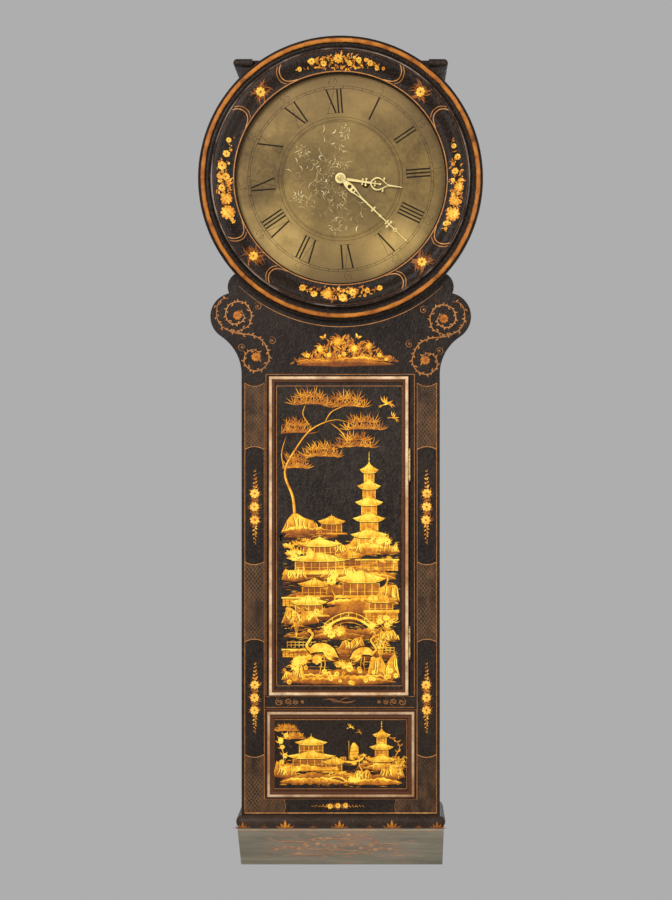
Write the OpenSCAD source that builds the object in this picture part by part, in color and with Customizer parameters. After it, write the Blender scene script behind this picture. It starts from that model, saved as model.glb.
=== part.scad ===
// Weight-driven wall clock: a long japanned case, a turned surround with a round
// brass dial, an eight-day train and a seconds pendulum.
// X runs to the right, Y towards the wall and Z up, in millimetres.
// The origin lies on the wall, behind the middle of the dial.

/* [Case] */
// Width of the trunk across its sides
trunk_w = 349; // [345:1:353]
// Depth of the case from the wall to the trunk's front
case_d = 165; // [163:1:170]
// Thickness of the front boards
front_t = 14; // [12:1:14]
// Thickness of the side boards
side_t = 12; // [10:1:13]
// Thickness of the backboard
back_t = 14; // [12:1:14]
// Height of the case's top above the middle of the dial
top_z = 211; // [205:1:220]
// Thickness of the top board
top_t = 13.6; // [10:0.2:16]
// How far the top board stands out past the case
top_over = 14.5; // [10:0.5:16]
// Drop from the middle of the dial to the trunk's lower end
trunk_drop = 1146.5; // [1140:0.5:1150]
// Drop from the middle of the dial to the underside of the base
base_drop = 1225; // [1215:1:1235]
// Width of the base below its moulding
base_w = 363; // [357:1:366]
// How far the canted base runs back below the trunk
base_lean = 100; // [95:1:105]
// Thickness of the canted board
cant_t = 12; // [10:1:13]
// Radius of the half-round base moulding
torus_r = 12.2; // [11:0.1:13]

/* [Dial surround and ears] */
// Outer radius of the turned surround
ring_r = 250; // [246:1:252]
// Radius of the surround's opening
ring_hole_r = 184; // [182:1:186]
// Height of the surround's fillet above the front board
ring_h = 27; // [24:1:28]
// Radius of each ear's large lobe
ear_r = 42; // [40:1:43]
// Radius of each ear's small upper lobe
ear_small_r = 27; // [25:1:28]
// Radius of the hollow below each ear
ear_hollow_r = 80; // [78:1:82]

/* [Door and panel] */
// Height of the door opening's top edge, below the middle of the dial
door_top = 352; // [348:1:356]
// Height of the door opening
door_h = 552; // [545:1:555]
// Width of the door opening
door_w = 241.5; // [239:0.5:243]
// How far the door's lip covers the case
lip = 5; // [4:0.5:6]
// Drop of the keyhole below the middle of the dial
key_drop = 631; // [600:1:660]
// Height of the lower panel
panel_h = 133; // [130:1:136]
// Height of the middle rail between door and panel
mid_rail_h = 42; // [40:1:44]

/* [Dial and hands] */
// Radius of the dial plate
dial_r = 190.5; // [188:0.5:192]
// Thickness of the dial plate
dial_t = 2; // [1.5:0.1:2.2]
// Direction of the hour hand, clockwise from straight up
hour_angle = 98.3; // [97:0.1:100]
// Direction of the minute hand, clockwise from straight up
minute_angle = 133.6; // [132:0.1:135]
// Length of the hour hand
hour_len = 109; // [105:1:112]
// Length of the minute hand
minute_len = 162; // [155:1:165]

/* [Movement] */
// Winding arbor to the right of the middle of the dial
wind_x = 44; // [43.8:0.1:44.2]
// Winding arbor below the middle of the dial
wind_drop = 9.7; // [9.5:0.1:9.9]
// Radius at which the gut line lies on the barrel
line_r = 15; // [14:0.5:15.5]
// Radius at which the gut line lies on the pulley
pulley_r = 20; // [19:0.5:21]
// Length of the pendulum from its bending point to the middle of the bob
pendulum_len = 994; // [985:1:1000]
// Radius of the pendulum bob
bob_r = 52; // [48:1:54]
// Radius of the lead weight
weight_r = 34; // [30:1:35]
// Length of the lead weight
weight_h = 195; // [180:1:200]

/* [Hidden] */

// Facets of small and of large round parts; true arcs replace them where they are exact
round_fn = 48;
ring_fn = 180;
// Gap between faces that move past each other
play = 0.3;
// Radial clearance of a pin or an arbor in its hole
fit = 0.05;
// A cut runs this much past the face that it opens
past = 1;

half_w = trunk_w / 2;
half_base = base_w / 2;
front_y = -case_d;
front_back_y = -(case_d - front_t);
box_top = top_z - top_t;
front_foot = -(trunk_drop - 4.5);

// The canted board runs from the trunk's front edge down and back to the underside
cant_drop = base_drop - trunk_drop;
cant_len = norm([base_lean, cant_drop]);
// Depth of the canted board measured level, and where its inner face lies at height z
cant_level = cant_t * cant_len / cant_drop;
function cant_inner_y(z) = front_y + cant_level - (z + trunk_drop) * base_lean / cant_drop;
function cant_inner_z(y) = -trunk_drop - (y - front_y - cant_level) * cant_drop / base_lean;
torus_z = -(trunk_drop - 15.3);
torus_low = torus_z - torus_r;

// The door opening, a little wider on the hinge side
open_left = -door_w / 2 + 0.25;
open_right = door_w / 2 + 0.25;
open_low = -door_top - door_h;
panel_top = open_low - mid_rail_h;
panel_low = panel_top - panel_h;

// A point on a circle of radius r at angle a
function on_circle(r, a) = [r * cos(a), r * sin(a)];
// Points of an arc about centre c from angle a0 to a1, in the given number of steps
function arc(c, r, a0, a1, steps) =
    [for (i = [0:steps]) c + on_circle(r, a0 + (a1 - a0) * i / steps)];

// A board given by its lowest and its highest corner
module board(lo, hi) {
    translate(lo) cube(hi - lo);
}

// An outline in X and Z given thickness along Y, from y0 in front to y1 behind
module slab(y0, y1) {
    translate([0, y1, 0]) rotate([90, 0, 0]) linear_extrude(height = y1 - y0) children();
}

// An outline in Y and Z given thickness along X, from x0 to x1
module cheek(x0, x1) {
    translate([x0, 0, 0]) rotate([90, 0, 90]) linear_extrude(height = x1 - x0) children();
}

// A round rod along Y at p = [x, z]
module rod_y(p, y0, y1, r) {
    translate([p[0], y1, p[1]]) rotate([90, 0, 0]) cylinder(h = y1 - y0, r = r, $fn = round_fn);
}

// A round rod along Z at p = [x, y]
module rod_z(p, z0, z1, r) {
    translate([p[0], p[1], z0]) cylinder(h = z1 - z0, r = r, $fn = round_fn);
}

// A profile of radius and height, turned about an axis along Y and standing forward of y
module turned(p, y, fn = round_fn) {
    translate([p[0], y, p[1]]) rotate([90, 0, 0]) rotate_extrude($fn = fn) children();
}

// Copies its children to the left and the right
module both_sides() {
    children();
    mirror([1, 0, 0]) children();
}

// The case

// Softwood board that carries the case on the wall
module backboard() {
    color("sienna") difference() {
        board([-half_w, -back_t, -base_drop], [half_w, 0, box_top]);
        hanging_recess();
        rod_y(hang_at, -back_t - past, 0, hang_pocket_r);
    }
}

hang_at = [0, 165];
hang_r = 5;
hang_pocket_r = 9;
plate_half = [32, 16];
plate_t = 3;

// The shallow recess that lets the hanging plate in flush
module hanging_recess() {
    board([-plate_half[0], -plate_t, hang_at[1] - plate_half[1]],
        [plate_half[0], past, hang_at[1] + plate_half[1]]);
}

// Iron plate with the hole for the wall hook
module hanging_plate() {
    color("dimgray") difference() {
        board([-plate_half[0], -plate_t, hang_at[1] - plate_half[1]],
            [plate_half[0], 0, hang_at[1] + plate_half[1]]);
        rod_y(hang_at, -plate_t - past, past, hang_r);
    }
}

// The access opening in each side of the head, and its door
access_front = -140;
access_back = -50;
access_low = -48;
access_high = 128;

// One side board with its access opening; its lower edge follows the canted board
module side_board() {
    difference() {
        cheek(half_w - side_t, half_w) polygon([
            [front_back_y, box_top], [-back_t, box_top], [-back_t, -base_drop],
            [cant_inner_y(-base_drop), -base_drop],
            [front_back_y, cant_inner_z(front_back_y)]]);
        board([half_w - side_t - past, access_front, access_low],
            [half_w + past, access_back, access_high]);
    }
}

module side_right() {
    color("maroon") side_board();
}

module side_left() {
    color("maroon") mirror([1, 0, 0]) side_board();
}

// Outline of the head board: a round back for the surround, the box, and two ears
ear_lobe = [187.5, -242];
ear_small = [172, -190];
ear_reach = ear_r + ear_hollow_r;
hollow_x = half_w + ear_hollow_r;
hollow_at = [hollow_x, ear_lobe[1] - sqrt(pow(ear_reach, 2) - pow(hollow_x - ear_lobe[0], 2))];
ear_join = ear_lobe + (hollow_at - ear_lobe) * ear_r / ear_reach;
head_back_r = ring_r - 4;

module head_outline() {
    circle(r = head_back_r, $fn = ring_fn);
    translate([-half_w, -door_top]) square([trunk_w, door_top + box_top]);
    both_sides() {
        translate(ear_lobe) circle(r = ear_r, $fn = 96);
        translate(ear_small) circle(r = ear_small_r, $fn = 96);
        difference() {
            polygon([[half_w - 10, ear_small[1]], ear_small + [ear_small_r - 3, -8],
                ear_join, hollow_at, [half_w - 10, hollow_at[1]]]);
            translate(hollow_at) circle(r = ear_hollow_r, $fn = 160);
        }
    }
}

module head_front_board() {
    color("maroon") slab(front_y, front_back_y) difference() {
        head_outline();
        circle(r = head_hole_r, $fn = ring_fn);
    }
}

// The head board's hole, behind the dial, lets the movement through
head_hole_r = 150;

bolt_z = -key_drop + 14;
bolt_half = [3, 5];
leaf_t = 1.2;
leaf_w = 17;
leaf_h = 54;
hinge_z = [-503, -816];
hinge_axis = [open_right - 0.7, front_y - 5];

module stile_left() {
    color("maroon") difference() {
        board([-half_w, front_y, front_foot], [open_left, front_back_y, -door_top]);
        board([open_left - 9, front_y + 5, bolt_z - bolt_half[1] - play],
            [open_left + past, front_y + 5 + 2 * bolt_half[0] + 2 * play, bolt_z + bolt_half[1] + play]);
    }
}

module stile_right() {
    color("maroon") difference() {
        board([open_right, front_y, front_foot], [half_w, front_back_y, -door_top]);
        for (z = hinge_z)
            board([open_right - past, front_y - past, z - leaf_h / 2],
                [open_right + leaf_t, hinge_axis[1] + leaf_w, z + leaf_h / 2]);
    }
}

module middle_rail() {
    color("maroon") board([open_left, front_y, panel_top], [open_right, front_back_y, open_low]);
}

module bottom_rail() {
    color("maroon") board([open_left, front_y, front_foot], [open_right, front_back_y, panel_low]);
}

module lower_panel() {
    color("black") board([open_left, front_y, panel_low], [open_right, front_back_y, panel_top]);
}

// A picture-frame moulding: the profile (inward distance, height) runs round a rectangle
// and is mitred at its corners
mitre = 20;

module mitred_frame(lo, hi, y, profile) {
    mid = (lo + hi) / 2;
    half = (hi - lo) / 2;
    for (turn = [0:3]) {
        run = turn % 2 == 0 ? half[0] : half[1];
        reach = turn % 2 == 0 ? half[1] : half[0];
        translate([mid[0], y, mid[1]]) rotate([0, 90 * turn, 0]) intersection() {
            translate([-run, 0, 0]) rotate([90, 0, 90]) linear_extrude(height = 2 * run)
                polygon([for (p = profile) [-p[1], p[0] - reach]]);
            slab(-mitre, mitre) polygon([[-run, -reach], [run, -reach],
                [run - mitre, mitre - reach], [mitre - run, mitre - reach]]);
        }
    }
}

// Bead with a fillet and a hollow behind it, over a width w
function bead_profile(w) = concat([[0, 0], [0, 1.6]], arc([w * 0.3, 3.2], 2.9, 190, 0, 7),
    arc([w * 0.78, 4.4], 2.4, 210, 330, 4), [[w, 2.4], [w, 0]]);

panel_frame_w = 13;
panel_frame_out = 10;

module panel_moulding() {
    color("maroon") mitred_frame([open_left - panel_frame_out, panel_low - panel_frame_out],
        [open_right + panel_frame_out, panel_top + panel_frame_out], front_y,
        bead_profile(panel_frame_w));
}

// Half-round moulding on the front and both sides at the trunk's foot
module base_torus() {
    mid_x = half_w - 2.5;
    mid_y = front_y + 2.5;
    color("maroon") difference() {
        union() {
            translate([-mid_x, mid_y, torus_z]) rotate([0, 90, 0])
                cylinder(h = 2 * mid_x, r = torus_r, $fn = round_fn);
            both_sides() {
                translate([mid_x, 0, torus_z]) rotate([90, 0, 0])
                    cylinder(h = -mid_y, r = torus_r, $fn = round_fn);
                translate([mid_x, mid_y, torus_z]) sphere(r = torus_r, $fn = round_fn);
            }
        }
        board([-half_w, front_y, torus_low - past], [half_w, past, torus_z + torus_r + past]);
    }
}

module base_cant_board() {
    color("dimgray") cheek(-half_base, half_base) polygon([
        [front_y, torus_low], [front_y, -trunk_drop], [front_y + base_lean, -base_drop],
        [cant_inner_y(-base_drop), -base_drop], [cant_inner_y(torus_low), torus_low]]);
}

// Cheeks that widen the base to the sides of the canted board
module base_cheeks() {
    color("maroon") both_sides() cheek(half_w, half_base) polygon([
        [cant_inner_y(torus_low), torus_low], [0, torus_low], [0, -base_drop],
        [cant_inner_y(-base_drop), -base_drop]]);
}

bottom_t = 12;

module bottom_board() {
    inner = half_w - side_t;
    color("sienna") cheek(-inner, inner) polygon([
        [cant_inner_y(-base_drop + bottom_t), -base_drop + bottom_t], [-back_t, -base_drop + bottom_t],
        [-back_t, -base_drop], [cant_inner_y(-base_drop), -base_drop]]);
}

// Top board with a rounded nose on its sides and at its front corners, where it shows
// past the surround; between the corners it stops behind the head board
module top_board() {
    nose = top_t / 2;
    mid_z = top_z - nose;
    nose_x = half_w + top_over - nose;
    nose_y = front_y - 8 + nose;
    corner_x = sqrt(pow(ring_r, 2) - pow(box_top, 2)) + 2;
    color("maroon") difference() {
        union() {
            board([-nose_x, nose_y, box_top], [nose_x, 0, top_z]);
            translate([-nose_x, nose_y, mid_z]) rotate([0, 90, 0])
                cylinder(h = 2 * nose_x, r = nose, $fn = round_fn);
            both_sides() {
                translate([nose_x, 0, mid_z]) rotate([90, 0, 0])
                    cylinder(h = -nose_y, r = nose, $fn = round_fn);
                translate([nose_x, nose_y, mid_z]) sphere(r = nose, $fn = round_fn);
            }
        }
        board([-corner_x, front_y - 20, box_top - past], [corner_x, front_back_y, top_z + past]);
    }
}

// Section of the surround from the rebate for the dial to its outer edge: a rounded lip,
// a broad ogee band, a fillet, a deep hollow, the gilt bead and a small outer cove
ring_profile = concat(
    [[dial_r + 0.5, 0], [dial_r + 0.5, dial_t + 0.3], [ring_hole_r, dial_t + 0.3], [ring_hole_r, 13]],
    arc([ring_hole_r + 3, 13], 3, 180, 90, 3),
    arc([ring_hole_r + 7, 37], 21.2, 266, 300, 5),
    arc([ring_r - 33, 8], 17.8, 120, 72, 5),
    [[ring_r - 26, ring_h], [ring_r - 23, ring_h]],
    arc([ring_r - 15, ring_h - 4], 8, 165, 285, 7),
    arc([ring_r - 8.5, ring_h - 10], 4.4, 180, 0, 8),
    arc([ring_r, ring_h - 10], 3.2, 200, 270, 3),
    [[ring_r, 0]]);

module dial_surround() {
    color("maroon") turned([0, 0], front_y, ring_fn) polygon(ring_profile);
}

// The trunk door and its hinges

knuckle_r = 3.2;
pin_r = 1.4;
door_face = front_y - 3;
body_gap = 1;
door_left = open_left + body_gap;
door_right = open_right - 1.4;
lip_left = open_left - lip - body_gap;
lip_high = -door_top + lip;
lip_low = open_low - lip;
lock_x = [door_left, door_left + 26];
key_x = door_left + 14;

// Cuts that leave room for the hinge knuckles along the door's edge
module knuckle_room() {
    for (z = hinge_z)
        rod_z(hinge_axis, z - leaf_h / 2 - 4.5, z + leaf_h / 2 + 4.5, knuckle_r + 0.5);
}

module door_board() {
    lock_back = door_face + 21;
    color("black") difference() {
        union() {
            board([door_left, door_face, open_low + body_gap],
                [door_right, front_back_y + 3, -door_top - body_gap]);
            board([lip_left, door_face, lip_low], [door_right, front_y - play, lip_high]);
        }
        knuckle_room();
        for (z = hinge_z)
            board([door_right - leaf_t, door_face - past, z - leaf_h / 2],
                [door_right + past, hinge_axis[1] + leaf_w, z + leaf_h / 2]);
        board([lock_x[0] - past, door_face + 6, -key_drop - 24],
            [lock_x[1], lock_back, -key_drop + 24]);
        rod_y([key_x, -key_drop + 2.5], door_face - past, door_face + 7, 2.4);
        board([key_x - 1.3, door_face - past, -key_drop - 6], [key_x + 1.3, door_face + 7, -key_drop + 2]);
    }
}

module door_moulding() {
    color("maroon") difference() {
        mitred_frame([lip_left, lip_low], [door_right, lip_high], door_face, bead_profile(11));
        knuckle_room();
    }
}

// One hinge leaf's knuckles: the barrel between heights, bored for the pin
module knuckles(axis, z, height, rows, r, bore) {
    step = height / 5;
    for (row = rows)
        difference() {
            rod_z(axis, z - height / 2 + row * step + play / 2,
                z - height / 2 + (row + 1) * step - play / 2, r);
            rod_z(axis, z - height, z + height, bore);
        }
}

// Strips that join a leaf to its own knuckles only
module leaf_tabs(x0, x1, y0, y1, z, height, rows) {
    step = height / 5;
    for (row = rows)
        board([x0, y0, z - height / 2 + row * step + play / 2],
            [x1, y1, z - height / 2 + (row + 1) * step - play / 2]);
}

// One butt hinge's leaf, let into the wood at height z
module butt_leaf(x0, x1, z, rows) {
    difference() {
        union() {
            board([x0, front_y - 1.5, z - leaf_h / 2], [x1, hinge_axis[1] + leaf_w, z + leaf_h / 2]);
            leaf_tabs(x0, x1, hinge_axis[1], front_y - 1, z, leaf_h, rows);
        }
        rod_z(hinge_axis, z - leaf_h, z + leaf_h, pin_r + fit);
    }
    knuckles(hinge_axis, z, leaf_h, rows, knuckle_r, pin_r + fit);
}

module door_hinge_leaves() {
    color("goldenrod") for (z = hinge_z)
        butt_leaf(door_right - leaf_t, door_right, z, [1, 3]);
}

// Side door hinges: leaves on the outer faces, with the axis behind the opening's edge
side_hinge_z = [access_low + 30, access_high - 30];
side_axis = [half_w + 2.4, access_back - 0.3];
side_knuckle_r = 2.2;
side_pin_r = 1;
side_leaf_h = 30;
side_leaf_w = 13;
side_leaf_gap = 2.6;

// One side hinge's leaf, running along Y from the axis to y_end
module side_leaf(z, rows, y_end) {
    face = [side_axis[1], y_end];
    difference() {
        union() {
            board([half_w, min(face) + (y_end > side_axis[1] ? side_leaf_gap : 0), z - side_leaf_h / 2],
                [half_w + 1, max(face) - (y_end > side_axis[1] ? 0 : side_leaf_gap), z + side_leaf_h / 2]);
            leaf_tabs(half_w, half_w + 1, min(face), max(face), z, side_leaf_h, rows);
        }
        rod_z(side_axis, z - side_leaf_h, z + side_leaf_h, side_pin_r + fit);
    }
    knuckles(side_axis, z, side_leaf_h, rows, side_knuckle_r, side_pin_r + fit);
}

module case_hinge_leaves() {
    color("goldenrod") {
        for (z = hinge_z)
            butt_leaf(open_right, open_right + leaf_t, z, [0, 2, 4]);
        both_sides() for (z = side_hinge_z)
            side_leaf(z, [0, 2, 4], side_axis[1] + side_leaf_w);
    }
}

// Pins with small ball heads, for the trunk door and the two side doors
module hinge_pins() {
    color("darkgoldenrod") {
        for (z = hinge_z) hinge_pin(hinge_axis, z, leaf_h, pin_r);
        both_sides() for (z = side_hinge_z) hinge_pin(side_axis, z, side_leaf_h, side_pin_r);
    }
}

module hinge_pin(axis, z, height, r) {
    rod_z(axis, z - height / 2, z + height / 2, r);
    for (end = [-1, 1])
        translate([axis[0], axis[1], z + end * (height / 2 + r)]) sphere(r = 1.5 * r, $fn = 32);
}

// Brass lock let into the back of the door
module lock_case() {
    z = -key_drop;
    color("goldenrod") difference() {
        board([lock_x[0], door_face + 6, z - 24], [lock_x[1], door_face + 18, z + 24]);
        board([lock_x[0] - past, bolt_y[0] - play, bolt_z - bolt_half[1] - play],
            [lock_x[1] - 3, bolt_y[1] + play, bolt_z + bolt_half[1] + play]);
        rod_y([key_x, z + 2.5], door_face, door_face + 15, 2.6);
        board([key_x - 1.5, door_face, z - 6], [key_x + 1.5, door_face + 15, z + 2]);
    }
}

bolt_y = [front_y + 5 + play, front_y + 5 + play + 2 * bolt_half[0]];

// Bolt that slides out of the lock into the left stile
module lock_bolt() {
    color("khaki") board([lock_x[0] + 0.5, bolt_y[0], bolt_z - bolt_half[1]],
        [lock_x[1] - 9, bolt_y[1], bolt_z + bolt_half[1]]);
}

// Side access doors

module side_door() {
    gap = 0.6;
    board([half_w - side_t, access_front + gap, access_low + gap],
        [half_w, access_back - gap, access_high - gap]);
}

module side_door_right() {
    color("maroon") side_door();
}

module side_door_left() {
    color("maroon") mirror([1, 0, 0]) side_door();
}

knob_at = [access_front + 14, (access_low + access_high) / 2];

// Turned knob on the front edge of a side door, and the door's own hinge leaves
module side_brass() {
    for (z = side_hinge_z)
        side_leaf(z, [1, 3], side_axis[1] - side_leaf_w);
    translate([half_w, knob_at[0], knob_at[1]]) rotate([0, 90, 0]) rotate_extrude($fn = round_fn)
        polygon(concat([[0, 0], [6, 0], [6, 1.2], [2.6, 2.4], [2.6, 7]],
            arc([0, 11.5], 5.2, -60, 90, 8)));
}

module side_brass_right() {
    color("goldenrod") side_brass();
}

module side_brass_left() {
    color("goldenrod") mirror([1, 0, 0]) side_brass();
}

// The movement's support

seat_top = -56;
seat_t = 18;
seat_y = [-143, -68];
line_y = -108;
barrel_at = [wind_x, -wind_drop];
line_x = barrel_at[0] - line_r;
pulley_x = line_x + pulley_r;
knot_x = pulley_x + pulley_r;
gut_r = 0.7;
pillar_at = [[-38, -48], [84, -48], [-38, 76], [84, 76]];
seat_pillars = [pillar_at[0], pillar_at[1]];
hook_y = line_y + 16;
hook_r = 2.1;
hook_eye_r = 4.6;
line_hole_r = 4;
knot_hole_r = 1.4;
bearer_w = 20;
bearer_h = 26;

// Board that carries the movement, with holes for the line and the two hook bolts
module seatboard() {
    inner = half_w - side_t;
    low = seat_top - seat_t;
    color("sienna") difference() {
        board([-inner, seat_y[0], low], [inner, seat_y[1], seat_top]);
        rod_z([line_x, line_y], low - past, seat_top + past, line_hole_r);
        rod_z([knot_x, line_y], low - past, seat_top + past, knot_hole_r);
        for (p = seat_pillars)
            rod_z([p[0], hook_y], low - past, seat_top + past, hook_r + 0.1);
    }
}

// Blocks glued to the sides under the seatboard's ends
module seat_bearers() {
    inner = half_w - side_t;
    color("sienna") both_sides() board([inner - bearer_w, seat_y[0], seat_top - seat_t - bearer_h],
        [inner, seat_y[1], seat_top - seat_t]);
}

// Hook bolts round the lower pillars, with square nuts under the seatboard
module seat_bolts() {
    nut_t = 5;
    nut_r = 6;
    ring_half = 2.5;
    ring_outer_r = 7;
    tail = 4;
    low = seat_top - seat_t;
    color("dimgray") for (p = seat_pillars) {
        difference() {
            union() {
                rod_y(p, hook_y - ring_half, hook_y + ring_half, ring_outer_r);
                rod_z([p[0], hook_y], low - nut_t - tail, p[1] - hook_eye_r - 0.9, hook_r);
            }
            rod_y(p, hook_y - ring_half - past, hook_y + ring_half + past, hook_eye_r);
        }
        difference() {
            translate([p[0], hook_y, low - nut_t]) cylinder(h = nut_t, r = nut_r, $fn = 4);
            rod_z([p[0], hook_y], low - nut_t - past, low + past, hook_r);
        }
    }
}

// The frame of the movement

plate_x = [-46, 92];
plate_z = [-56, 84];
back_plate_y = [-77, -74];
// Distance forward from the back plate's inner face
function fwd(d) = back_plate_y[0] - d;
front_plate_y = [fwd(66), fwd(63)];
shoulder = 0.3;
pivot_r = 1.2;

// Wheel centres, as [x, z] seen from the front
great_module = 2 * norm(barrel_at) / (96 + 8);
centre_module = 0.75;
third_module = 0.7;
cannon_module = 0.6;
third_angle = 123.3;
third_at = on_circle(centre_module * (60 + 8) / 2, third_angle);
escape_angle = 50.6;
escape_at = third_at + on_circle(third_module * (56 + 7) / 2, escape_angle);
escape_r = 18.5;
pallet_at = [0, escape_at[1] + escape_r * sqrt(2)];
motion_gap = 24;
reverse_angle = 240;
reverse_at = on_circle(motion_gap, reverse_angle);
hour_module = 2 * motion_gap / (72 + 6);

// A plate with its corners rounded, before its holes are drilled
module plate_blank(y) {
    corner = 6;
    slab(y[0], y[1]) difference() {
        translate([plate_x[0], plate_z[0]])
            square([plate_x[1] - plate_x[0], plate_z[1] - plate_z[0]]);
        for (x = plate_x)
            for (z = plate_z)
                difference() {
                    translate([x, z]) square(2 * corner, center = true);
                    translate([x + (x < 0 ? corner : -corner), z + (z < 0 ? corner : -corner)])
                        circle(r = corner, $fn = round_fn);
                }
    }
}

// A hole drilled right through a plate
module drill(p, y, r) {
    rod_y(p, y[0] - past, y[1] + past, r);
}

foot_at = [[-40, 40], [86, 40], [-40, -22], [86, -26]];
bridge_screw_x = 25;

module front_plate() {
    color("goldenrod") {
        difference() {
            plate_blank(front_plate_y);
            for (p = pillar_at) drill(p, front_plate_y, 3 + fit);
            for (p = foot_at) drill(p, front_plate_y, 2 + fit);
            for (p = [third_at, escape_at, pallet_at]) drill(p, front_plate_y, pivot_r + fit);
            drill([0, 0], front_plate_y, 2 + fit);
            drill(barrel_at, front_plate_y, 3.5 + fit);
            drill(reverse_at, front_plate_y, 1.25);
        }
    }
}

module back_plate() {
    color("goldenrod") difference() {
        plate_blank(back_plate_y);
        for (p = [third_at, escape_at, [0, 0]]) drill(p, back_plate_y, pivot_r + fit);
        for (p = pillar_at) drill(p, back_plate_y, 3);
        drill(barrel_at, back_plate_y, 2.5 + fit);
        drill(pallet_at, back_plate_y, 5);
    }
}

// Turned pillar: collars at both ends, a swelling in the middle, tenons through the plates
module pillars() {
    length = back_plate_y[0] - front_plate_y[1];
    profile = concat(
        [[0, -3], [3, -3], [3, 0], [7, 0], [7, 2.5], [4.4, 4], [4, length / 2 - 5]],
        arc([2.4, length / 2], 4.2, -58, 58, 6),
        [[4, length / 2 + 5], [4.4, length - 4], [7, length - 2.5], [7, length], [3, length],
        [3, length + 7.5], [0, length + 7.5]]);
    color("goldenrod") for (p = pillar_at)
        difference() {
            turned(p, back_plate_y[0]) polygon(profile);
            translate([p[0] - 9, pin_y, p[1]]) rotate([0, 90, 0])
                cylinder(h = 18, r = 0.9 + fit, $fn = round_fn);
        }
}

pin_y = front_plate_y[0] - 1.5;

// Pins through the pillars' front ends, which hold the front plate on
module plate_pins() {
    color("lightslategray") for (p = pillar_at)
        translate([p[0] - 8, pin_y, p[1]]) rotate([0, 90, 0])
            cylinder(h = 16, r = 0.9, $fn = round_fn);
}

module dial_plate() {
    color("darkkhaki") difference() {
        rod_y_fine([0, 0], front_y - dial_t, front_y, dial_r);
        drill([0, 0], [front_y - dial_t, front_y], 7.5);
        drill(barrel_at, [front_y - dial_t, front_y], 6.5);
    }
}

// A large disc along Y
module rod_y_fine(p, y0, y1, r) {
    translate([p[0], y1, p[1]]) rotate([90, 0, 0]) cylinder(h = y1 - y0, r = r, $fn = ring_fn);
}

// Feet riveted to the dial's back, with tenons through the front plate
module dial_feet() {
    color("goldenrod") for (p = foot_at) {
        rod_y(p, front_y, front_plate_y[0], 3.5);
        rod_y(p, front_plate_y[0], front_plate_y[1] + 2, 2);
    }
}

bridge_y = [fwd(74.4), fwd(72.8)];
bridge_pipe_end = fwd(94);
bridge_pipe_r = 5.05;
cannon_pipe_r = 3.4;

// Bridge over the cannon wheel, whose pipe carries the hour wheel
module motion_bridge() {
    color("goldenrod") difference() {
        union() {
            board([-28, bridge_y[0], -5], [28, bridge_y[1], 5]);
            both_sides() board([22, bridge_y[0], -5], [28, front_plate_y[0], 5]);
            rod_y([0, 0], bridge_pipe_end, bridge_y[1], bridge_pipe_r);
            both_sides() rod_y([bridge_screw_x, 0], bridge_y[0] - 1.6, bridge_y[1], 2.6);
        }
        rod_y([0, 0], bridge_pipe_end - past, bridge_y[1] + past, cannon_pipe_r + fit);
    }
}

// Cock behind the back plate: it holds the anchor's back pivot and, in the slot of its
// arm, the pendulum's suspension spring
cock_y = [-62, -59];
pendulum_y = -50;

module back_cock() {
    z = pallet_at[1];
    color("goldenrod") difference() {
        union() {
            both_sides() board([13, back_plate_y[1], z - 6], [21, cock_y[1], z + 13]);
            board([-21, cock_y[0], z - 6], [21, cock_y[1], z + 13]);
            board([-7, cock_y[0], z + 3], [7, pendulum_y + 8, z + 13]);
        }
        drill([pallet_at[0], z], cock_y, pivot_r + fit);
        board([-0.9, pendulum_y - 6, z], [0.9, pendulum_y + 9, z + 14]);
    }
}

// Wheels and pinions

// Pointed wheel teeth: a closed outline of n teeth of module m, one of them at angle phase
function wheel_teeth(n, m, phase) = [for (i = [0:n - 1]) let (a = phase + i * 360 / n, s = 72 / n)
    each [on_circle(m * (n / 2 - 1.3), a - 1.1 * s), on_circle(m * n / 2, a - s),
        on_circle(m * (n / 2 + 1), a), on_circle(m * n / 2, a + s),
        on_circle(m * (n / 2 - 1.3), a + 1.1 * s)]];

// Round-topped pinion leaves, with a gap at angle phase
function pinion_leaves(n, m, phase) = [for (i = [0:n - 1]) let (a = phase + (i + 0.5) * 360 / n, s = 54 / n)
    each [on_circle(m * (n / 2 - 1.3), a - s), on_circle(m * n / 2, a - s),
        on_circle(m * (n / 2 + 0.55), a - s / 2), on_circle(m * (n / 2 + 0.55), a + s / 2),
        on_circle(m * n / 2, a + s), on_circle(m * (n / 2 - 1.3), a + s)]];

// The open web between a wheel's hub and its rim, crossed by four arms
module crossings(hub, rim, arm) {
    difference() {
        circle(r = rim, $fn = 96);
        circle(r = hub, $fn = round_fn);
        for (turn = [0, 90]) rotate(turn) square([2 * rim, arm], center = true);
    }
}

module crossed_wheel(n, m, phase, hub, arm) {
    difference() {
        polygon(wheel_teeth(n, m, phase));
        crossings(hub, m * (n / 2 - 3.2), arm);
    }
}

// Steel arbor between the plates, with a pivot at each end
module arbor(p, r) {
    rod_y(p, front_plate_y[1] + shoulder, back_plate_y[0] - shoulder, r);
    rod_y(p, front_plate_y[0], back_plate_y[1], pivot_r);
}

// Places an outline that is drawn about a wheel's own centre
module at(p) {
    translate(p) children();
}

function direction(from, to) = atan2(to[1] - from[1], to[0] - from[0]);

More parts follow.
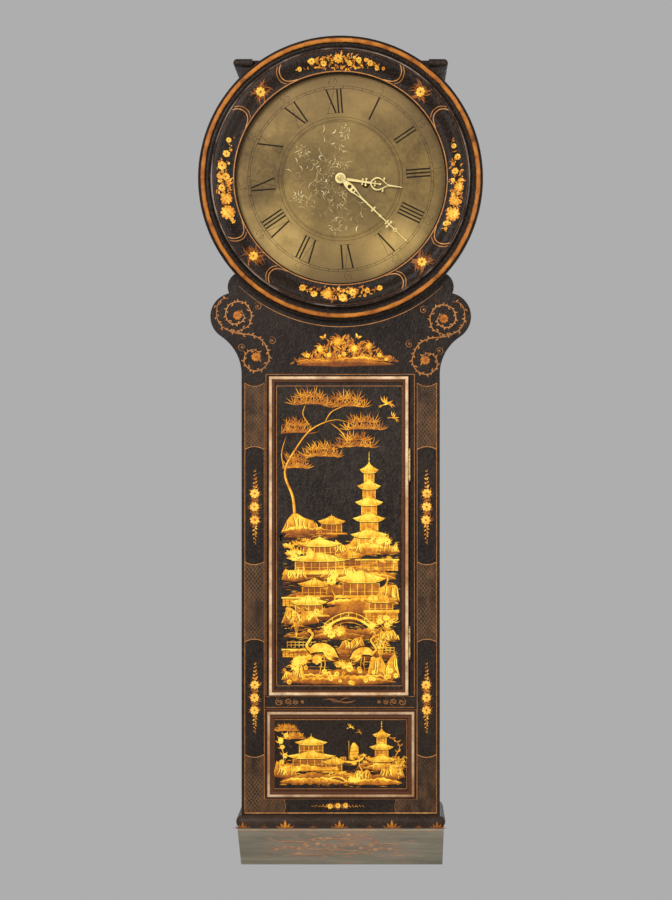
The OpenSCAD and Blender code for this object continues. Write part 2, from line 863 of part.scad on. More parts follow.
// Each wheel's and pinion's place along its arbor
great_y = [fwd(9), fwd(6)];
centre_y = [fwd(20.5), fwd(18.5)];
third_y = [fwd(40.5), fwd(38.5)];
escape_y = [fwd(51.8), fwd(50.2)];
centre_pinion_y = [fwd(16), fwd(3)];
third_pinion_y = [fwd(25), fwd(15)];
escape_pinion_y = [fwd(44), fwd(35)];
anchor_y = [fwd(54), fwd(48)];
motion_y = [fwd(70.3), fwd(68.3)];
hour_y = [fwd(78.5), fwd(76.5)];
reverse_pinion_y = [fwd(80), fwd(70.3)];
reverse_end = fwd(82);
hand_end = fwd(109);

ratchet_teeth = 24;
ratchet_r = 12.6;
click_pivot = [19.5, 11];
click_y = [fwd(12.2), fwd(9.3)];
ratchet_back = click_y[1] - 0.1;
drum_back = fwd(13.4);

module great_wheel() {
    phase = direction(barrel_at, [0, 0]);
    color("goldenrod") {
        slab(great_y[0], great_y[1]) at(barrel_at) difference() {
            polygon(wheel_teeth(96, great_module, phase));
            crossings(27, 36, 8);
            circle(r = 3.2 + fit, $fn = round_fn);
        }
        rod_y(barrel_at + click_pivot, click_y[0] - 1, great_y[0], 1.4);
    }
}

// Pawl on the great wheel, lifted just clear of the barrel's ratchet
module click() {
    color("lightslategray") slab(click_y[0], click_y[1]) at(barrel_at) difference() {
        union() {
            translate(click_pivot) circle(r = 3.6, $fn = round_fn);
            polygon([click_pivot + [-1.6, 3.2], [9, 12.4], [8.2, 10.6], [13, 8.8], click_pivot + [1, -3.4]]);
        }
        translate(click_pivot) circle(r = 1.4 + fit, $fn = round_fn);
    }
}

// Grooved barrel with its ratchet, on the winding arbor with its square
module barrel() {
    drum_r = line_r - 1;
    groove = 1.5;
    grooves = 18;
    drum = concat([[0, 0], [17.5, 0], [17.5, 2.4]],
        [for (i = [0:grooves - 1]) each [[drum_r, 2.4 + (i + 0.1) * groove],
            [drum_r - 0.5, 2.4 + (i + 0.55) * groove]]],
        [[drum_r, 2.4 + grooves * groove], [17.5, 2.4 + grooves * groove],
        [17.5, 4.8 + grooves * groove], [0, 4.8 + grooves * groove]]);
    color("goldenrod") {
        turned(barrel_at, drum_back) polygon(drum);
        slab(drum_back, ratchet_back) at(barrel_at) polygon([for (i = [0:ratchet_teeth - 1])
            each [on_circle(ratchet_r, i * 15), on_circle(ratchet_r - 1.9, i * 15 + 1.5)]]);
    }
    color("lightslategray") {
        rod_y(barrel_at, front_plate_y[1] + shoulder, ratchet_back, 5);
        rod_y(barrel_at, ratchet_back - 0.5, great_y[1] + 0.5, 3.2);
        rod_y(barrel_at, great_y[1] + 0.5, back_plate_y[0] - shoulder, 4.4);
        rod_y(barrel_at, back_plate_y[0] - shoulder - 0.5, back_plate_y[1] + 0.5, 2.5);
        rod_y(barrel_at, front_plate_y[0] - 1.5, front_plate_y[1] + shoulder + 0.5, 3.5);
        translate([barrel_at[0], front_plate_y[0] - 1, barrel_at[1]]) rotate([90, 0, 0])
            translate([-2.4, -2.4, 0]) cube([4.8, 4.8, 20]);
    }
}

// Centre arbor with its pinion and wheel; its front end carries the minute hand
module centre_wheel() {
    color("goldenrod") {
        slab(centre_y[0], centre_y[1])
            crossed_wheel(60, centre_module, third_angle, 5.5, 3.2);
        rod_y([0, 0], centre_y[0] - 2.5, centre_y[0], 5.5);
    }
    color("lightslategray") {
        rod_y([0, 0], front_plate_y[1] + shoulder, back_plate_y[0] - shoulder, 2.4);
        rod_y([0, 0], back_plate_y[0] - shoulder, back_plate_y[1], pivot_r);
        difference() {
            rod_y([0, 0], hand_end, front_plate_y[1] + shoulder, 2);
            hand_pin_rod(fit);
        }
        slab(centre_pinion_y[0], centre_pinion_y[1])
            polygon(pinion_leaves(8, great_module, direction([0, 0], barrel_at)));
    }
}

module third_wheel() {
    color("goldenrod") {
        slab(third_y[0], third_y[1]) at(third_at)
            crossed_wheel(56, third_module, escape_angle, 4.5, 2.8);
        rod_y(third_at, third_y[0], third_y[1] + 2.5, 4.5);
    }
    color("lightslategray") {
        arbor(third_at, 2);
        slab(third_pinion_y[0], third_pinion_y[1]) at(third_at)
            polygon(pinion_leaves(8, centre_module, third_angle + 180));
    }
}

// Escape wheel with thirty raked teeth
module escape_wheel() {
    teeth = 30;
    step = 360 / teeth;
    color("goldenrod") {
        slab(escape_y[0], escape_y[1]) at(escape_at) difference() {
            polygon([for (i = [0:teeth - 1]) each [on_circle(escape_r - 4, i * step),
                on_circle(escape_r - 2, i * step + 1.4), on_circle(escape_r, i * step + 4.4),
                on_circle(escape_r - 2, i * step + 3.6), on_circle(escape_r - 4, i * step + 4.6)]]);
            crossings(4, escape_r - 5.6, 2.2);
        }
        rod_y(escape_at, escape_y[1], escape_y[1] + 2.5, 4);
    }
    color("lightslategray") {
        arbor(escape_at, 1.8);
        slab(escape_pinion_y[0], escape_pinion_y[1]) at(escape_at)
            polygon(pinion_leaves(7, third_module, escape_angle + 180));
    }
}

// Outline of one side of the anchor, about the pallet arbor
anchor_arm = [[0, 4.5], [7, 4.6], [13, 2.2], [17, -1.6], [19.3, -6], [18.4, -12.2], [14.6, -12.4],
    [15.2, -8], [13, -5.2], [8, -3.6], [0, -4.5]];
crutch_y = [-69, -66.6];
rod_r = 2.5;
crutch_foot = -40;

// Anchor, its arbor, and the crutch that drives the pendulum
module anchor() {
    fork = rod_r + 0.35;
    color("lightslategray") {
        slab(anchor_y[0], anchor_y[1]) at(pallet_at) {
            polygon(anchor_arm);
            mirror([1, 0]) polygon(anchor_arm);
        }
        rod_y(pallet_at, front_plate_y[1] + shoulder, cock_y[0] - shoulder, 2);
        rod_y(pallet_at, front_plate_y[0], cock_y[1], pivot_r);
        rod_y(pallet_at, crutch_y[0] - 0.8, crutch_y[1] + 0.8, 4.5);
        board([-1.4, crutch_y[0], crutch_foot], [1.4, crutch_y[1], pallet_at[1] - 3]);
        board([-fork - 1.6, crutch_y[0], crutch_foot - 3], [fork + 1.6, crutch_y[1], crutch_foot]);
        both_sides() board([fork, crutch_y[0], crutch_foot - 3],
            [fork + 1.6, pendulum_y + 6, crutch_foot]);
    }
}

// Motion work

module cannon_wheel() {
    color("goldenrod") difference() {
        union() {
            slab(motion_y[0], motion_y[1]) polygon(wheel_teeth(40, cannon_module, reverse_angle));
            rod_y([0, 0], minute_y[0] - 0.6, motion_y[1] + 1.6, cannon_pipe_r);
        }
        rod_y([0, 0], minute_y[0] - 2, motion_y[1] + 3, 2 + fit);
    }
}

module reverse_wheel() {
    color("goldenrod") {
        difference() {
            slab(motion_y[0], motion_y[1]) at(reverse_at)
                polygon(wheel_teeth(40, cannon_module, reverse_angle + 180 + 4.5));
            drill(reverse_at, motion_y, 1.2);
        }
    }
    color("lightslategray") {
        slab(reverse_pinion_y[0], reverse_pinion_y[1]) at(reverse_at)
            polygon(pinion_leaves(6, hour_module, reverse_angle + 180));
        rod_y(reverse_at, reverse_end, front_plate_y[1], pivot_r);
    }
}

module hour_wheel() {
    color("goldenrod") difference() {
        union() {
            slab(hour_y[0], hour_y[1]) crossed_wheel(72, hour_module, reverse_angle, 9, 3.2);
            rod_y([0, 0], hour_hand_y[0] - 0.5, hour_y[1], hour_pipe_r);
        }
        rod_y([0, 0], hour_hand_y[0] - 2, hour_y[1] + 1, bridge_pipe_r + fit);
    }
}

// Hands and collet

hour_hand_y = [fwd(97.2), fwd(96)];
minute_y = [fwd(103.2), fwd(102)];
hour_pipe_r = 6.3;

// Points of an ellipse about [0, y]
function ellipse(y, a, b, steps) =
    [for (i = [0:steps - 1]) [a * cos(i * 360 / steps), y + b * sin(i * 360 / steps)]];

// A straight taper along the hand, from half-width w0 at y0 to w1 at y1
module taper(y0, w0, y1, w1) {
    polygon([[-w0, y0], [w0, y0], [w1, y1], [-w1, y1]]);
}

// A pair of round leaves beside the hand's stem, on a short stalk
module leaf_pair(y, reach, r) {
    for (side = [-1, 1]) translate([side * reach, y]) circle(r = r, $fn = 32);
    translate([-reach, y - r / 2]) square([2 * reach, r]);
}

// Half-width, as a share, of a spade at the share t of its length: full near the hub, then hollow
function spade_w(t) = sin(180 * pow(t, 0.75)) * (1 - 0.6 * pow(t, 3));

// Outline of a spade of half-width a that starts at y
function spade(y, a, length, steps) = concat(
    [for (i = [0:steps]) [a * spade_w(i / steps), y + length * i / steps]],
    [for (i = [steps - 1:-1:1]) [-a * spade_w(i / steps), y + length * i / steps]]);

// Discs on the stem, each given as [its place along the hand, its radius]
module beads(list) {
    for (bead = list) translate([0, bead[0]]) circle(r = bead[1], $fn = 32);
}

// Hour hand: a pierced spade with two crockets and a sprig inside, on a stem with leaves
module hour_hand() {
    spade_y = 52;
    spade_len = 35;
    rim = 2.6;
    color("khaki") slab(hour_hand_y[0], hour_hand_y[1]) rotate(-hour_angle) {
        difference() {
            union() {
                circle(r = 9.5, $fn = round_fn);
                taper(8, 2.4, spade_y + 1, 1.6);
                leaf_pair(spade_y - 13, 4.2, 1.6);
                leaf_pair(spade_y - 7, 5.6, 1.8);
                polygon(spade(spade_y, 12.2, spade_len, 24));
                leaf_pair(spade_y + 24, 11, 1.7);
                taper(spade_y + spade_len - rim, 1.6, hour_len, 0.6);
            }
            circle(r = hour_pipe_r + fit, $fn = round_fn);
            polygon(spade(spade_y + rim, 12.2 - rim, spade_len - 2 * rim, 24));
        }
        taper(spade_y + 1, 1, spade_y + 18, 0.8);
        leaf_pair(spade_y + 9, 3.4, 1.4);
        beads([[spade_y + 18, 2]]);
    }
}

// Minute hand: a leaf with three piercings, then a thin stem with leaves and beads
module minute_hand() {
    leaf_mid = 24;
    leaf_end = 50;
    color("khaki") slab(minute_y[0], minute_y[1]) rotate(-minute_angle) difference() {
        union() {
            circle(r = 9, $fn = round_fn);
            polygon(ellipse(leaf_mid, 5.9, 17, 48));
            taper(leaf_mid + 2, 5.7, leaf_end, 1.3);
            taper(leaf_end - 2, 1.5, minute_len, 0.5);
            leaf_pair(79, 3.6, 1.6);
            leaf_pair(112, 3, 1.6);
            leaf_pair(117.5, 5.6, 2);
            beads([[96, 2.2], [132, 3.4], [150, 1.4], [157.5, 1.4]]);
        }
        circle(r = cannon_pipe_r + fit, $fn = round_fn);
        beads([[leaf_mid - 2, 3.6], [leaf_mid + 7, 2.4], [132, 1.7]]);
        taper(leaf_mid + 11, 2.3, leaf_end - 4, 0.6);
    }
}

// Domed collet over the minute hand, with the taper pin that holds it
module hand_collet() {
    color("khaki") difference() {
        turned([0, 0], minute_y[0] - 0.6) polygon(concat([[2 + fit, 0], [9, 0], [9, 0.8]],
            arc([0, -4.6], 8.2, 42, 76, 6), [[2 + fit, 3.4]]));
    }
    color("lightslategray") hand_pin_rod(0);
}

// The pin across the centre arbor's end, or with a clearance the hole for it
module hand_pin_rod(clear) {
    translate([-7 - clear, hand_end + 1.2, 0]) rotate([0, 90, 0])
        cylinder(h = 14 + 2 * clear, r = 0.6 + clear, $fn = round_fn);
}

// The pendulum

// Rod with its suspension spring, the block above the cock and the block below the spring
module pendulum_rod() {
    z = pallet_at[1];
    low = z - pendulum_len - bob_r - 26;
    color("lightslategray") {
        board([-0.15, pendulum_y - 4, z - 16], [0.15, pendulum_y + 4, z + 17]);
        board([-3, pendulum_y - 5, z + 13 + play], [3, pendulum_y + 5, z + 19]);
        board([-3.4, pendulum_y - 4.5, z - 24], [3.4, pendulum_y + 4.5, z - 14]);
        rod_z([0, pendulum_y], low, z - 23, rod_r);
    }
}

// Lens-shaped bob, bored for the rod
module pendulum_bob() {
    z = pallet_at[1] - pendulum_len;
    half_t = 14;
    edge = 1;
    bulge = (pow(bob_r, 2) + pow(half_t - edge, 2)) / (2 * (half_t - edge));
    sweep = asin(bob_r / bulge);
    color("goldenrod") difference() {
        turned([0, z], pendulum_y, ring_fn) polygon(concat(
            arc([0, half_t - bulge], bulge, 90 - sweep, 90, 8),
            arc([0, bulge - half_t], bulge, 270, 270 + sweep, 8)));
        rod_z([0, pendulum_y], z - bob_r - past, z + bob_r + past, rod_r + fit);
    }
}

// Round nut under the bob, with a knurled edge
module rating_nut() {
    z = pallet_at[1] - pendulum_len - bob_r;
    teeth = 36;
    color("goldenrod") difference() {
        union() {
            translate([0, pendulum_y, z - 9]) linear_extrude(height = 6)
                polygon([for (i = [0:teeth - 1]) each [on_circle(10, i * 10), on_circle(9.4, i * 10 + 5)]]);
            rod_z([0, pendulum_y], z - 3, z - 1, 5);
        }
        rod_z([0, pendulum_y], z - 10, z, rod_r + fit);
    }
}

// The weight and its line

pulley_z = -861;
weight_top = pulley_z - 46.5;

// Gut line: down from the barrel, round the pulley and up to its knot on the seatboard
module gut_line() {
    color("wheat") {
        rod_z([line_x, line_y], pulley_z, barrel_at[1], gut_r);
        rod_z([knot_x, line_y], pulley_z, seat_top, gut_r);
        translate([knot_x, line_y, seat_top + 2]) sphere(r = 2.6, $fn = 32);
        translate([pulley_x, line_y, pulley_z]) rotate([90, 0, 0]) rotate([0, 0, 180])
            rotate_extrude(angle = 180, $fn = 96) translate([pulley_r, 0]) circle(r = gut_r, $fn = 24);
    }
}

module pulley() {
    rim_r = pulley_r + 2.2;
    groove_r = pulley_r - gut_r - 0.2;
    color("goldenrod") turned([pulley_x, pulley_z], line_y + 4, 96) polygon([[2 + fit, 0], [rim_r, 0],
        [rim_r, 1.2], [groove_r, 2.8], [groove_r, 5.2], [rim_r, 6.8], [rim_r, 8], [2 + fit, 8]]);
}

// A ring of wire, standing in the plane across the given turn about Z
module wire_ring(z, turn) {
    translate([pulley_x, line_y, z]) rotate([0, 0, turn]) rotate([90, 0, 0])
        rotate_extrude($fn = round_fn) translate([5, 0]) circle(r = 1.6, $fn = 24);
}

// Stirrup that holds the pulley's axle, with the hook for the weight
module pulley_stirrup() {
    low = pulley_z - 28;
    color("goldenrod") {
        for (y = [line_y - 6.6, line_y + 4.4])
            board([pulley_x - 5, y, low], [pulley_x + 5, y + 2.2, pulley_z + 7]);
        board([pulley_x - 5, line_y - 6.6, low - 3], [pulley_x + 5, line_y + 6.6, low]);
    }
    color("lightslategray") {
        rod_y([pulley_x, pulley_z], line_y - 7.6, line_y + 7.6, 2);
        wire_ring(low - 8, 90);
    }
}

// Lead weight with rounded shoulders and an iron eye
module weight() {
    shoulder_r = 7;
    color("dimgray") {
        translate([pulley_x, line_y, weight_top - weight_h]) rotate_extrude($fn = 96)
            polygon(concat([[0, 0], [weight_r - 2, 0], [weight_r, 2]],
                arc([weight_r - shoulder_r, weight_h - shoulder_r], shoulder_r, 0, 90, 5),
                [[6, weight_h], [0, weight_h]]));
        wire_ring(weight_top + 4, 0);
    }
}

backboard();
side_left();
side_right();
head_front_board();
stile_left();
stile_right();
middle_rail();
bottom_rail();
lower_panel();
panel_moulding();
base_torus();
base_cant_board();
base_cheeks();
bottom_board();
top_board();
dial_surround();
seatboard();
seat_bearers();
seat_bolts();
hanging_plate();
case_hinge_leaves();
hinge_pins();
dial_plate();
dial_feet();
front_plate();
back_plate();
pillars();
plate_pins();
motion_bridge();
back_cock();
door_board();
door_moulding();
door_hinge_leaves();
lock_case();
lock_bolt();
side_door_left();
side_door_right();
side_brass_left();
side_brass_right();
minute_hand();
hour_hand();
hand_collet();
centre_wheel();
cannon_wheel();
reverse_wheel();
hour_wheel();
great_wheel();
click();
barrel();
third_wheel();
escape_wheel();
anchor();
pendulum_rod();
pendulum_bob();
rating_nut();
gut_line();
pulley();
pulley_stirrup();
weight();
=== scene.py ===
import math

import bmesh
import bpy
import numpy as np
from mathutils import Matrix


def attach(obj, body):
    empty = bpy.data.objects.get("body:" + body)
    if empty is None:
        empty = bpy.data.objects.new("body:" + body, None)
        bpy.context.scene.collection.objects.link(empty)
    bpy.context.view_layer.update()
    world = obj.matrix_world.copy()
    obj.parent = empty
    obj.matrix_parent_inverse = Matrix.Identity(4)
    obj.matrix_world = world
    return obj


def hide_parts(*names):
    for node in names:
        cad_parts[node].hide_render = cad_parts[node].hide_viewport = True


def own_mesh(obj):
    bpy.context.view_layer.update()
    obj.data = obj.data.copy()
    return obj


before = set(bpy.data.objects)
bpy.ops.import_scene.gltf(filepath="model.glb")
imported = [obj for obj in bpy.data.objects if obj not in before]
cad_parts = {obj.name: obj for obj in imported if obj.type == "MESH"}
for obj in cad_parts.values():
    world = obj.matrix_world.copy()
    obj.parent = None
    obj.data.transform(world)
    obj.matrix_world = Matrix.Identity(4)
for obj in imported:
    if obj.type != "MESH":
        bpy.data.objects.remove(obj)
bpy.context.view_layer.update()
scene = bpy.context.scene

# Camera: it stands straight before the case at the height of the clock's middle, a little to
# the right, and takes in the whole clock. Its shift is the photograph's own framing.
VIEW_HEIGHT_PX, FOCAL_PX, SHIFT_PX = 900, 2244, -49
lens = bpy.data.cameras.new("camera")
lens.sensor_width = 36
lens.lens = lens.sensor_width * FOCAL_PX / VIEW_HEIGHT_PX
lens.shift_x = SHIFT_PX / VIEW_HEIGHT_PX
lens.clip_end = 60
camera = bpy.data.objects.new("camera", lens)
camera.location = (0.078, -4.115, -0.477)
camera.rotation_euler = (math.pi / 2, 0, 0)
scene.collection.objects.link(camera)
scene.camera = camera


# Room: a plain grey studio. Two large soft lamps stand before the clock and a third behind it,
# and the room itself gives the rest of the light.
def tint(red, green, blue):
    """A colour as it shows, 0 to 255, turned by the usual sRGB curve to a shader's values."""
    shown = np.array([red, green, blue]) / 255
    curved = np.where(shown <= 0.04045, shown / 12.92, ((shown + 0.055) / 1.055) ** 2.4)
    return (*curved.tolist(), 1.0)


def soft_lamp(name, place, width, power, aim):
    """A square lamp of that width in metres; it stands at place and faces aim."""
    light = bpy.data.lights.new(name, "AREA")
    light.size, light.energy = width, power
    lamp = bpy.data.objects.new(name, light)
    lamp.location = place
    right, ahead, up = np.array(aim) - np.array(place)
    tilt = math.atan2(math.hypot(right, ahead), -up)
    lamp.rotation_euler = (tilt, 0, math.atan2(-right, ahead))
    scene.collection.objects.link(lamp)


soft_lamp("key_lamp", (-1.5, -3.6, 1.1), 1.6, 95, (0, -0.1, -0.35))
soft_lamp("fill_lamp", (2.2, -3.2, -0.3), 1.8, 50, (0, -0.1, -0.45))
soft_lamp("rear_lamp", (1.5, 3.0, 1.5), 2.0, 60, (0, 0, -0.4))


class Mixture:
    """A node tree being put together, with short ways to add a node and to feed it."""

    def __init__(self, tree):
        self.tree = tree

    def join(self, node, sockets):
        """Gives each named or numbered socket its value, its shown colour, or what feeds it."""
        for key, value in sockets.items():
            socket = node.inputs[key.replace("_", " ") if isinstance(key, str) else key]
            if isinstance(value, bpy.types.NodeSocket):
                self.tree.links.new(value, socket)
            else:
                socket.default_value = tint(*value) if socket.type == "RGBA" else value

    def put(self, kind, sockets, **fields):
        """Adds a node of that kind, sets its fields and joins its sockets."""
        node = self.tree.nodes.new("ShaderNode" + kind)
        for key, value in fields.items():
            setattr(node, key, value)
        self.join(node, sockets)
        return node


scene.world = scene.world or bpy.data.worlds.new("room")
scene.world.use_nodes = True
room = Mixture(scene.world.node_tree)
room.tree.nodes.clear()
rays = room.put("LightPath", {}).outputs
seen = rays["Is Camera Ray"]
for ray in ("Is Glossy Ray", "Is Transmission Ray"):
    seen = room.put("Math", {0: seen, 1: rays[ray]}, operation="MAXIMUM").outputs[0]
lighting = room.put("Background", {"Color": (255, 255, 255), "Strength": 0.55}).outputs[0]
backdrop = room.put("Background", {"Color": (174, 174, 175)}).outputs[0]
either = room.put("MixShader", {0: seen, 1: lighting, 2: backdrop}).outputs[0]
room.put("OutputWorld", {0: either})
scene.view_settings.view_transform = "Standard"


# Carcase: backboard, sides, cheeks, top and bottom are softwood boards. The backboard is glued
# up of narrow boards and left bare. The sides, cheeks and top are japanned black, with less
# gloss than the front, and rubbed brown in spots.
class Finish(Mixture):
    """A material being mixed: one shader whose colour, gloss and bump come from textures that
    are fixed to the piece in metres, so the grain keeps its real size on every board."""

    def __init__(self, name, **sockets):
        self.material = bpy.data.materials.new(name)
        self.material.use_nodes = True
        super().__init__(self.material.node_tree)
        self.shader = self.tree.nodes["Principled BSDF"]
        self.place = self.put("TexCoord", {}).outputs["Object"]
        self.join(self.shader, sockets)

    def paint(self, colour, **sockets):
        """Gives the surface its colour, and other sockets what feeds them."""
        self.colour = colour
        self.join(self.shader, {"Base_Color": colour, **sockets})

    def stretched(self, x, y, z, turn=(0, 0, 0)):
        """The piece's own place with each direction multiplied, for grain that runs long."""
        return self.put("Mapping", {"Vector": self.place, "Scale": (x, y, z),
                                    "Rotation": turn}).outputs[0]

    def axis(self, letter):
        """How far a point lies along that axis, in metres."""
        return self.put("SeparateXYZ", {0: self.place}).outputs[letter]

    def from_dial_axis(self):
        """How far a point lies from the dial's axis, in metres."""
        return self.put("VectorMath", {0: self.stretched(1, 0, 1)},
                        operation="LENGTH").outputs["Value"]

    def cloudy(self, scale, detail, place=None):
        """Noise from 0 to 1 with that many clouds to the metre."""
        return self.put("TexNoise", {"Vector": place or self.place, "Scale": scale,
                                     "Detail": detail, "Roughness": 0.6}).outputs[0]

    def spread(self, factor, low, high, to_low, to_high):
        """Moves the range low to high onto to_low to to_high, and holds it there."""
        return self.put("MapRange", {0: factor, 1: low, 2: high, 3: to_low, 4: to_high}).outputs[0]

    def patches(self, scale, detail, *ranges, place=None):
        """Clouds whose range is moved."""
        return self.spread(self.cloudy(scale, detail, place), *ranges)

    def ramp(self, factor, *stops):
        """A colour that passes through the stops, each a position and a shown colour."""
        node = self.put("ValToRGB", {"Fac": factor})
        elements = node.color_ramp.elements
        while len(elements) < len(stops):
            elements.new(0.5)
        for element, (position, *colour) in zip(elements, stops):
            element.position, element.color = position, tint(*colour)
        return node.outputs[0]

    def work(self, operation, first, second=0.0):
        """Two numbers worked together."""
        return self.put("Math", {0: first, 1: second}, operation=operation).outputs[0]

    def times(self, first, second):
        """Two numbers multiplied."""
        return self.work("MULTIPLY", first, second)

    def mix(self, factor, first, second):
        """One colour passing to another."""
        return self.put("Mix", {0: factor, 6: first, 7: second}, data_type="RGBA").outputs[2]

    def relief(self, height, depth, strength=0.5):
        """Bumps of that depth in metres."""
        node = self.put("Bump", {"Height": height, "Distance": depth, "Strength": strength})
        self.join(self.shader, {"Normal": node.outputs[0]})


def wear(finish, *nodes):
    """Gives the CAD nodes that finish in place of their plain one."""
    for name in nodes:
        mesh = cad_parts[name].data
        mesh.materials.clear()
        mesh.materials.append(finish.material)


LACQUER, LACQUER_WORN = (17, 11, 8), (82, 50, 28)


def black_lacquer(name, light, crack_scale=260, rough=0.36, dust=0.3, crackle=0.35):
    """Old lacquer over a brown ground: fine upright cracks, cloudy grey bloom and rubbed spots."""
    coat = Finish(name, Specular_IOR_Level=0.16)
    upright = coat.stretched(1.0, 1.0, 0.38)
    cells = coat.put("TexVoronoi", {"Vector": upright, "Scale": crack_scale},
                     feature="DISTANCE_TO_EDGE").outputs["Distance"]
    crack = coat.spread(cells, 0.0, 0.07, 1.0, 0.0)
    base = coat.ramp(coat.cloudy(9, 6), (0.3, *LACQUER), (0.75, *light))
    bloom = coat.patches(150, 5, 0.45, 0.75, 0, dust, place=upright)
    cracked = coat.mix(coat.times(crack, crackle), coat.mix(bloom, base, (84, 68, 54)), (92, 70, 50))
    coat.paint(coat.mix(coat.patches(38, 8, 0.66, 0.76, 0.0, 0.75), cracked, LACQUER_WORN),
               Roughness=coat.patches(60, 5, 0.3, 0.7, rough - 0.06, rough + 0.14))
    coat.relief(coat.times(crack, -1.0), 0.0003, 0.6)
    return coat


def plain_wood(name, pale, dark, long_axis):
    """Unpainted board: bands of early and late wood that run along one axis, and small knots."""
    wood = Finish(name, Roughness=0.75)
    squeeze = [26, 26, 26]
    squeeze[long_axis] = 1.1
    along = wood.stretched(*squeeze)
    fine = wood.cloudy(30, 3, along)
    bands = wood.ramp(wood.cloudy(3.2, 7, along), (0.3, *pale), (0.52, *dark), (0.7, *pale))
    wood.paint(wood.mix(0.35, bands, wood.ramp(fine, (0.3, 70, 48, 30), (0.7, *pale))))
    wood.relief(fine, 0.0004)
    return wood


back = plain_wood("bare_wood_upright", (150, 116, 78), (112, 80, 50), 2)
BOARD, JOINT = 0.1163, 0.0009
from_middle = back.axis("X")
board = back.work("FLOOR", back.work("DIVIDE", back.work("ADD", from_middle, BOARD / 2), BOARD))
each = back.put("TexWhiteNoise", {"W": board}, noise_dimensions="1D").outputs["Value"]
aside = back.put("CombineXYZ", {"X": each, "Z": each}).outputs[0]
shifted = back.put("VectorMath", {0: back.stretched(1, 1, 0.055), 1: aside}).outputs[0]
figure = back.put("TexWave", {"Vector": shifted, "Scale": 15, "Distortion": 7, "Detail": 3,
                              "Detail Scale": 1.4}, bands_direction="X").outputs["Fac"]
timber = back.mix(back.spread(figure, 0.55, 1.0, 0.0, 0.45), back.colour, (92, 60, 34))
timber = back.mix(back.spread(each, 0, 1, 0.0, 0.35), timber, (98, 70, 46))
to_joint = back.work("PINGPONG", from_middle, BOARD / 2)
joint = back.spread(to_joint, BOARD / 2 - JOINT, BOARD / 2 - 0.0002, 0.0, 0.85)
back.paint(back.mix(joint, timber, (38, 26, 17)))
wear(back, "backboard")
wear(plain_wood("bare_wood_level", (146, 112, 76), (108, 77, 48), 0),
     "bottom_board", "seatboard", "seat_bearers")
wear(black_lacquer("side_lacquer", (42, 33, 26), rough=0.42), "side_left", "side_right",
     "base_cheeks", "top_board", "side_door_left", "side_door_right")


# Movement: an eight-day weight movement between brass plates, with its steel arbors, iron
# bolts and lead weight. All of it is behind the dial, and shows through the side doors.
def metal(name, bright, dull, scale, rough, metallic=1.0, depth=0.00005):
    """Handled metal: bright where it is rubbed, dull in cloudy patches, with fine scratches."""
    finish = Finish(name, Metallic=metallic)
    patch = finish.cloudy(scale, 6)
    finish.paint(finish.ramp(patch, (0.32, *dull), (0.66, *bright)),
                 Roughness=finish.spread(patch, 0.3, 0.7, rough + 0.16, rough - 0.05))
    finish.relief(finish.cloudy(scale * 14, 3, finish.stretched(1, 1, 6)), depth)
    return finish


wear(metal("movement_brass", (214, 176, 104), (160, 124, 66), 40, 0.3), "front_plate", "back_plate",
     "centre_wheel", "reverse_wheel", "hour_wheel", "great_wheel", "barrel", "third_wheel",
     "escape_wheel", "motion_bridge", "back_cock", "dial_feet", "cannon_wheel", "pulley",
     "rating_nut")
wear(metal("steel", (176, 178, 182), (112, 110, 110), 60, 0.28), "pillars", "plate_pins", "click",
     "anchor", "pendulum_rod", "pulley_stirrup")
wear(metal("iron", (92, 84, 78), (58, 46, 40), 80, 0.5), "seat_bolts", "hanging_plate",
     "lock_case", "lock_bolt")
wear(metal("lead", (118, 120, 126), (84, 84, 88), 30, 0.55, 0.8, 0.0002), "weight", "pendulum_bob")
wear(metal("hinge_brass", (206, 176, 116), (128, 100, 58), 120, 0.34), "case_hinge_leaves",
     "hinge_pins", "door_hinge_leaves", "side_brass_left", "side_brass_right")


# Trunk front: one head board with two lobed ears, two stiles and two rails, all flush and
# japanned black. Gold lines and ornament are laid on it in thin raised size and gilt.
wear(black_lacquer("front_lacquer", (40, 29, 22), dust=0.14, crackle=0.2), "head_front_board",
     "stile_left", "stile_right", "middle_rail", "bottom_rail", "lower_panel")


# Dial surround: one ring turned in softwood. From the dial outwards it has a rounded lip, a
# broad ogee band, a fillet, a deep hollow, a gilt bead and a small cove. The band is japanned
# and gilt in eight compartments: four long flower sprays and four single flowers.
HOLE_R, BAND_R, RING_R, FRONT_Y = 184, 205, 250, -165
RIM, UNDER_FACE = 0.8, -0.1


def blade(edge_a, edge_b, rise=0.35, tone=1.0, base=0.0, rim=RIM):
    """A low raised shape between two edge curves in mm, closed below and at both ends.

    Across it the height is that of a flattened dome: nothing at the edges, three quarters a
    rim's width inside them and all of it in the middle; towards narrow ends it sinks with the
    width. Its tone is 0 on the edges, so that they dry dark, and the given one inside: one
    number, one for each point along it, or a tuple of three across it."""
    a, b = np.asarray(edge_a, float), np.asarray(edge_b, float)
    width = np.linalg.norm(b - a, axis=1)
    share = np.minimum(0.3, rim / np.maximum(width, 1e-6))
    across = np.stack([0 * share, share, 0 * share + 0.5, 1 - share, 0 * share + 1], 1)[..., None]
    flat = a[:, None] * (1 - across) + b[:, None] * across
    full = np.minimum(1.0, width / (0.35 * width.max() + 1e-9))[:, None]
    height = base + rise * full * np.array([0, 0.75, 1, 0.75, 0])
    height[:, [0, 4]] = UNDER_FACE
    grid = np.concatenate([flat, height[..., None]], 2)
    ends = [np.repeat(row.mean(0, keepdims=True), 5, 0)[None] for row in (grid[0], grid[-1])]
    for end in ends:
        end[..., 2] = UNDER_FACE
    tones = np.zeros((len(a) + 2, 5))
    tones[1:-1, 1:4] = tone if isinstance(tone, tuple) else np.reshape(tone, (-1, 1))
    return [(np.concatenate([ends[0], grid, ends[1]]), tones)]


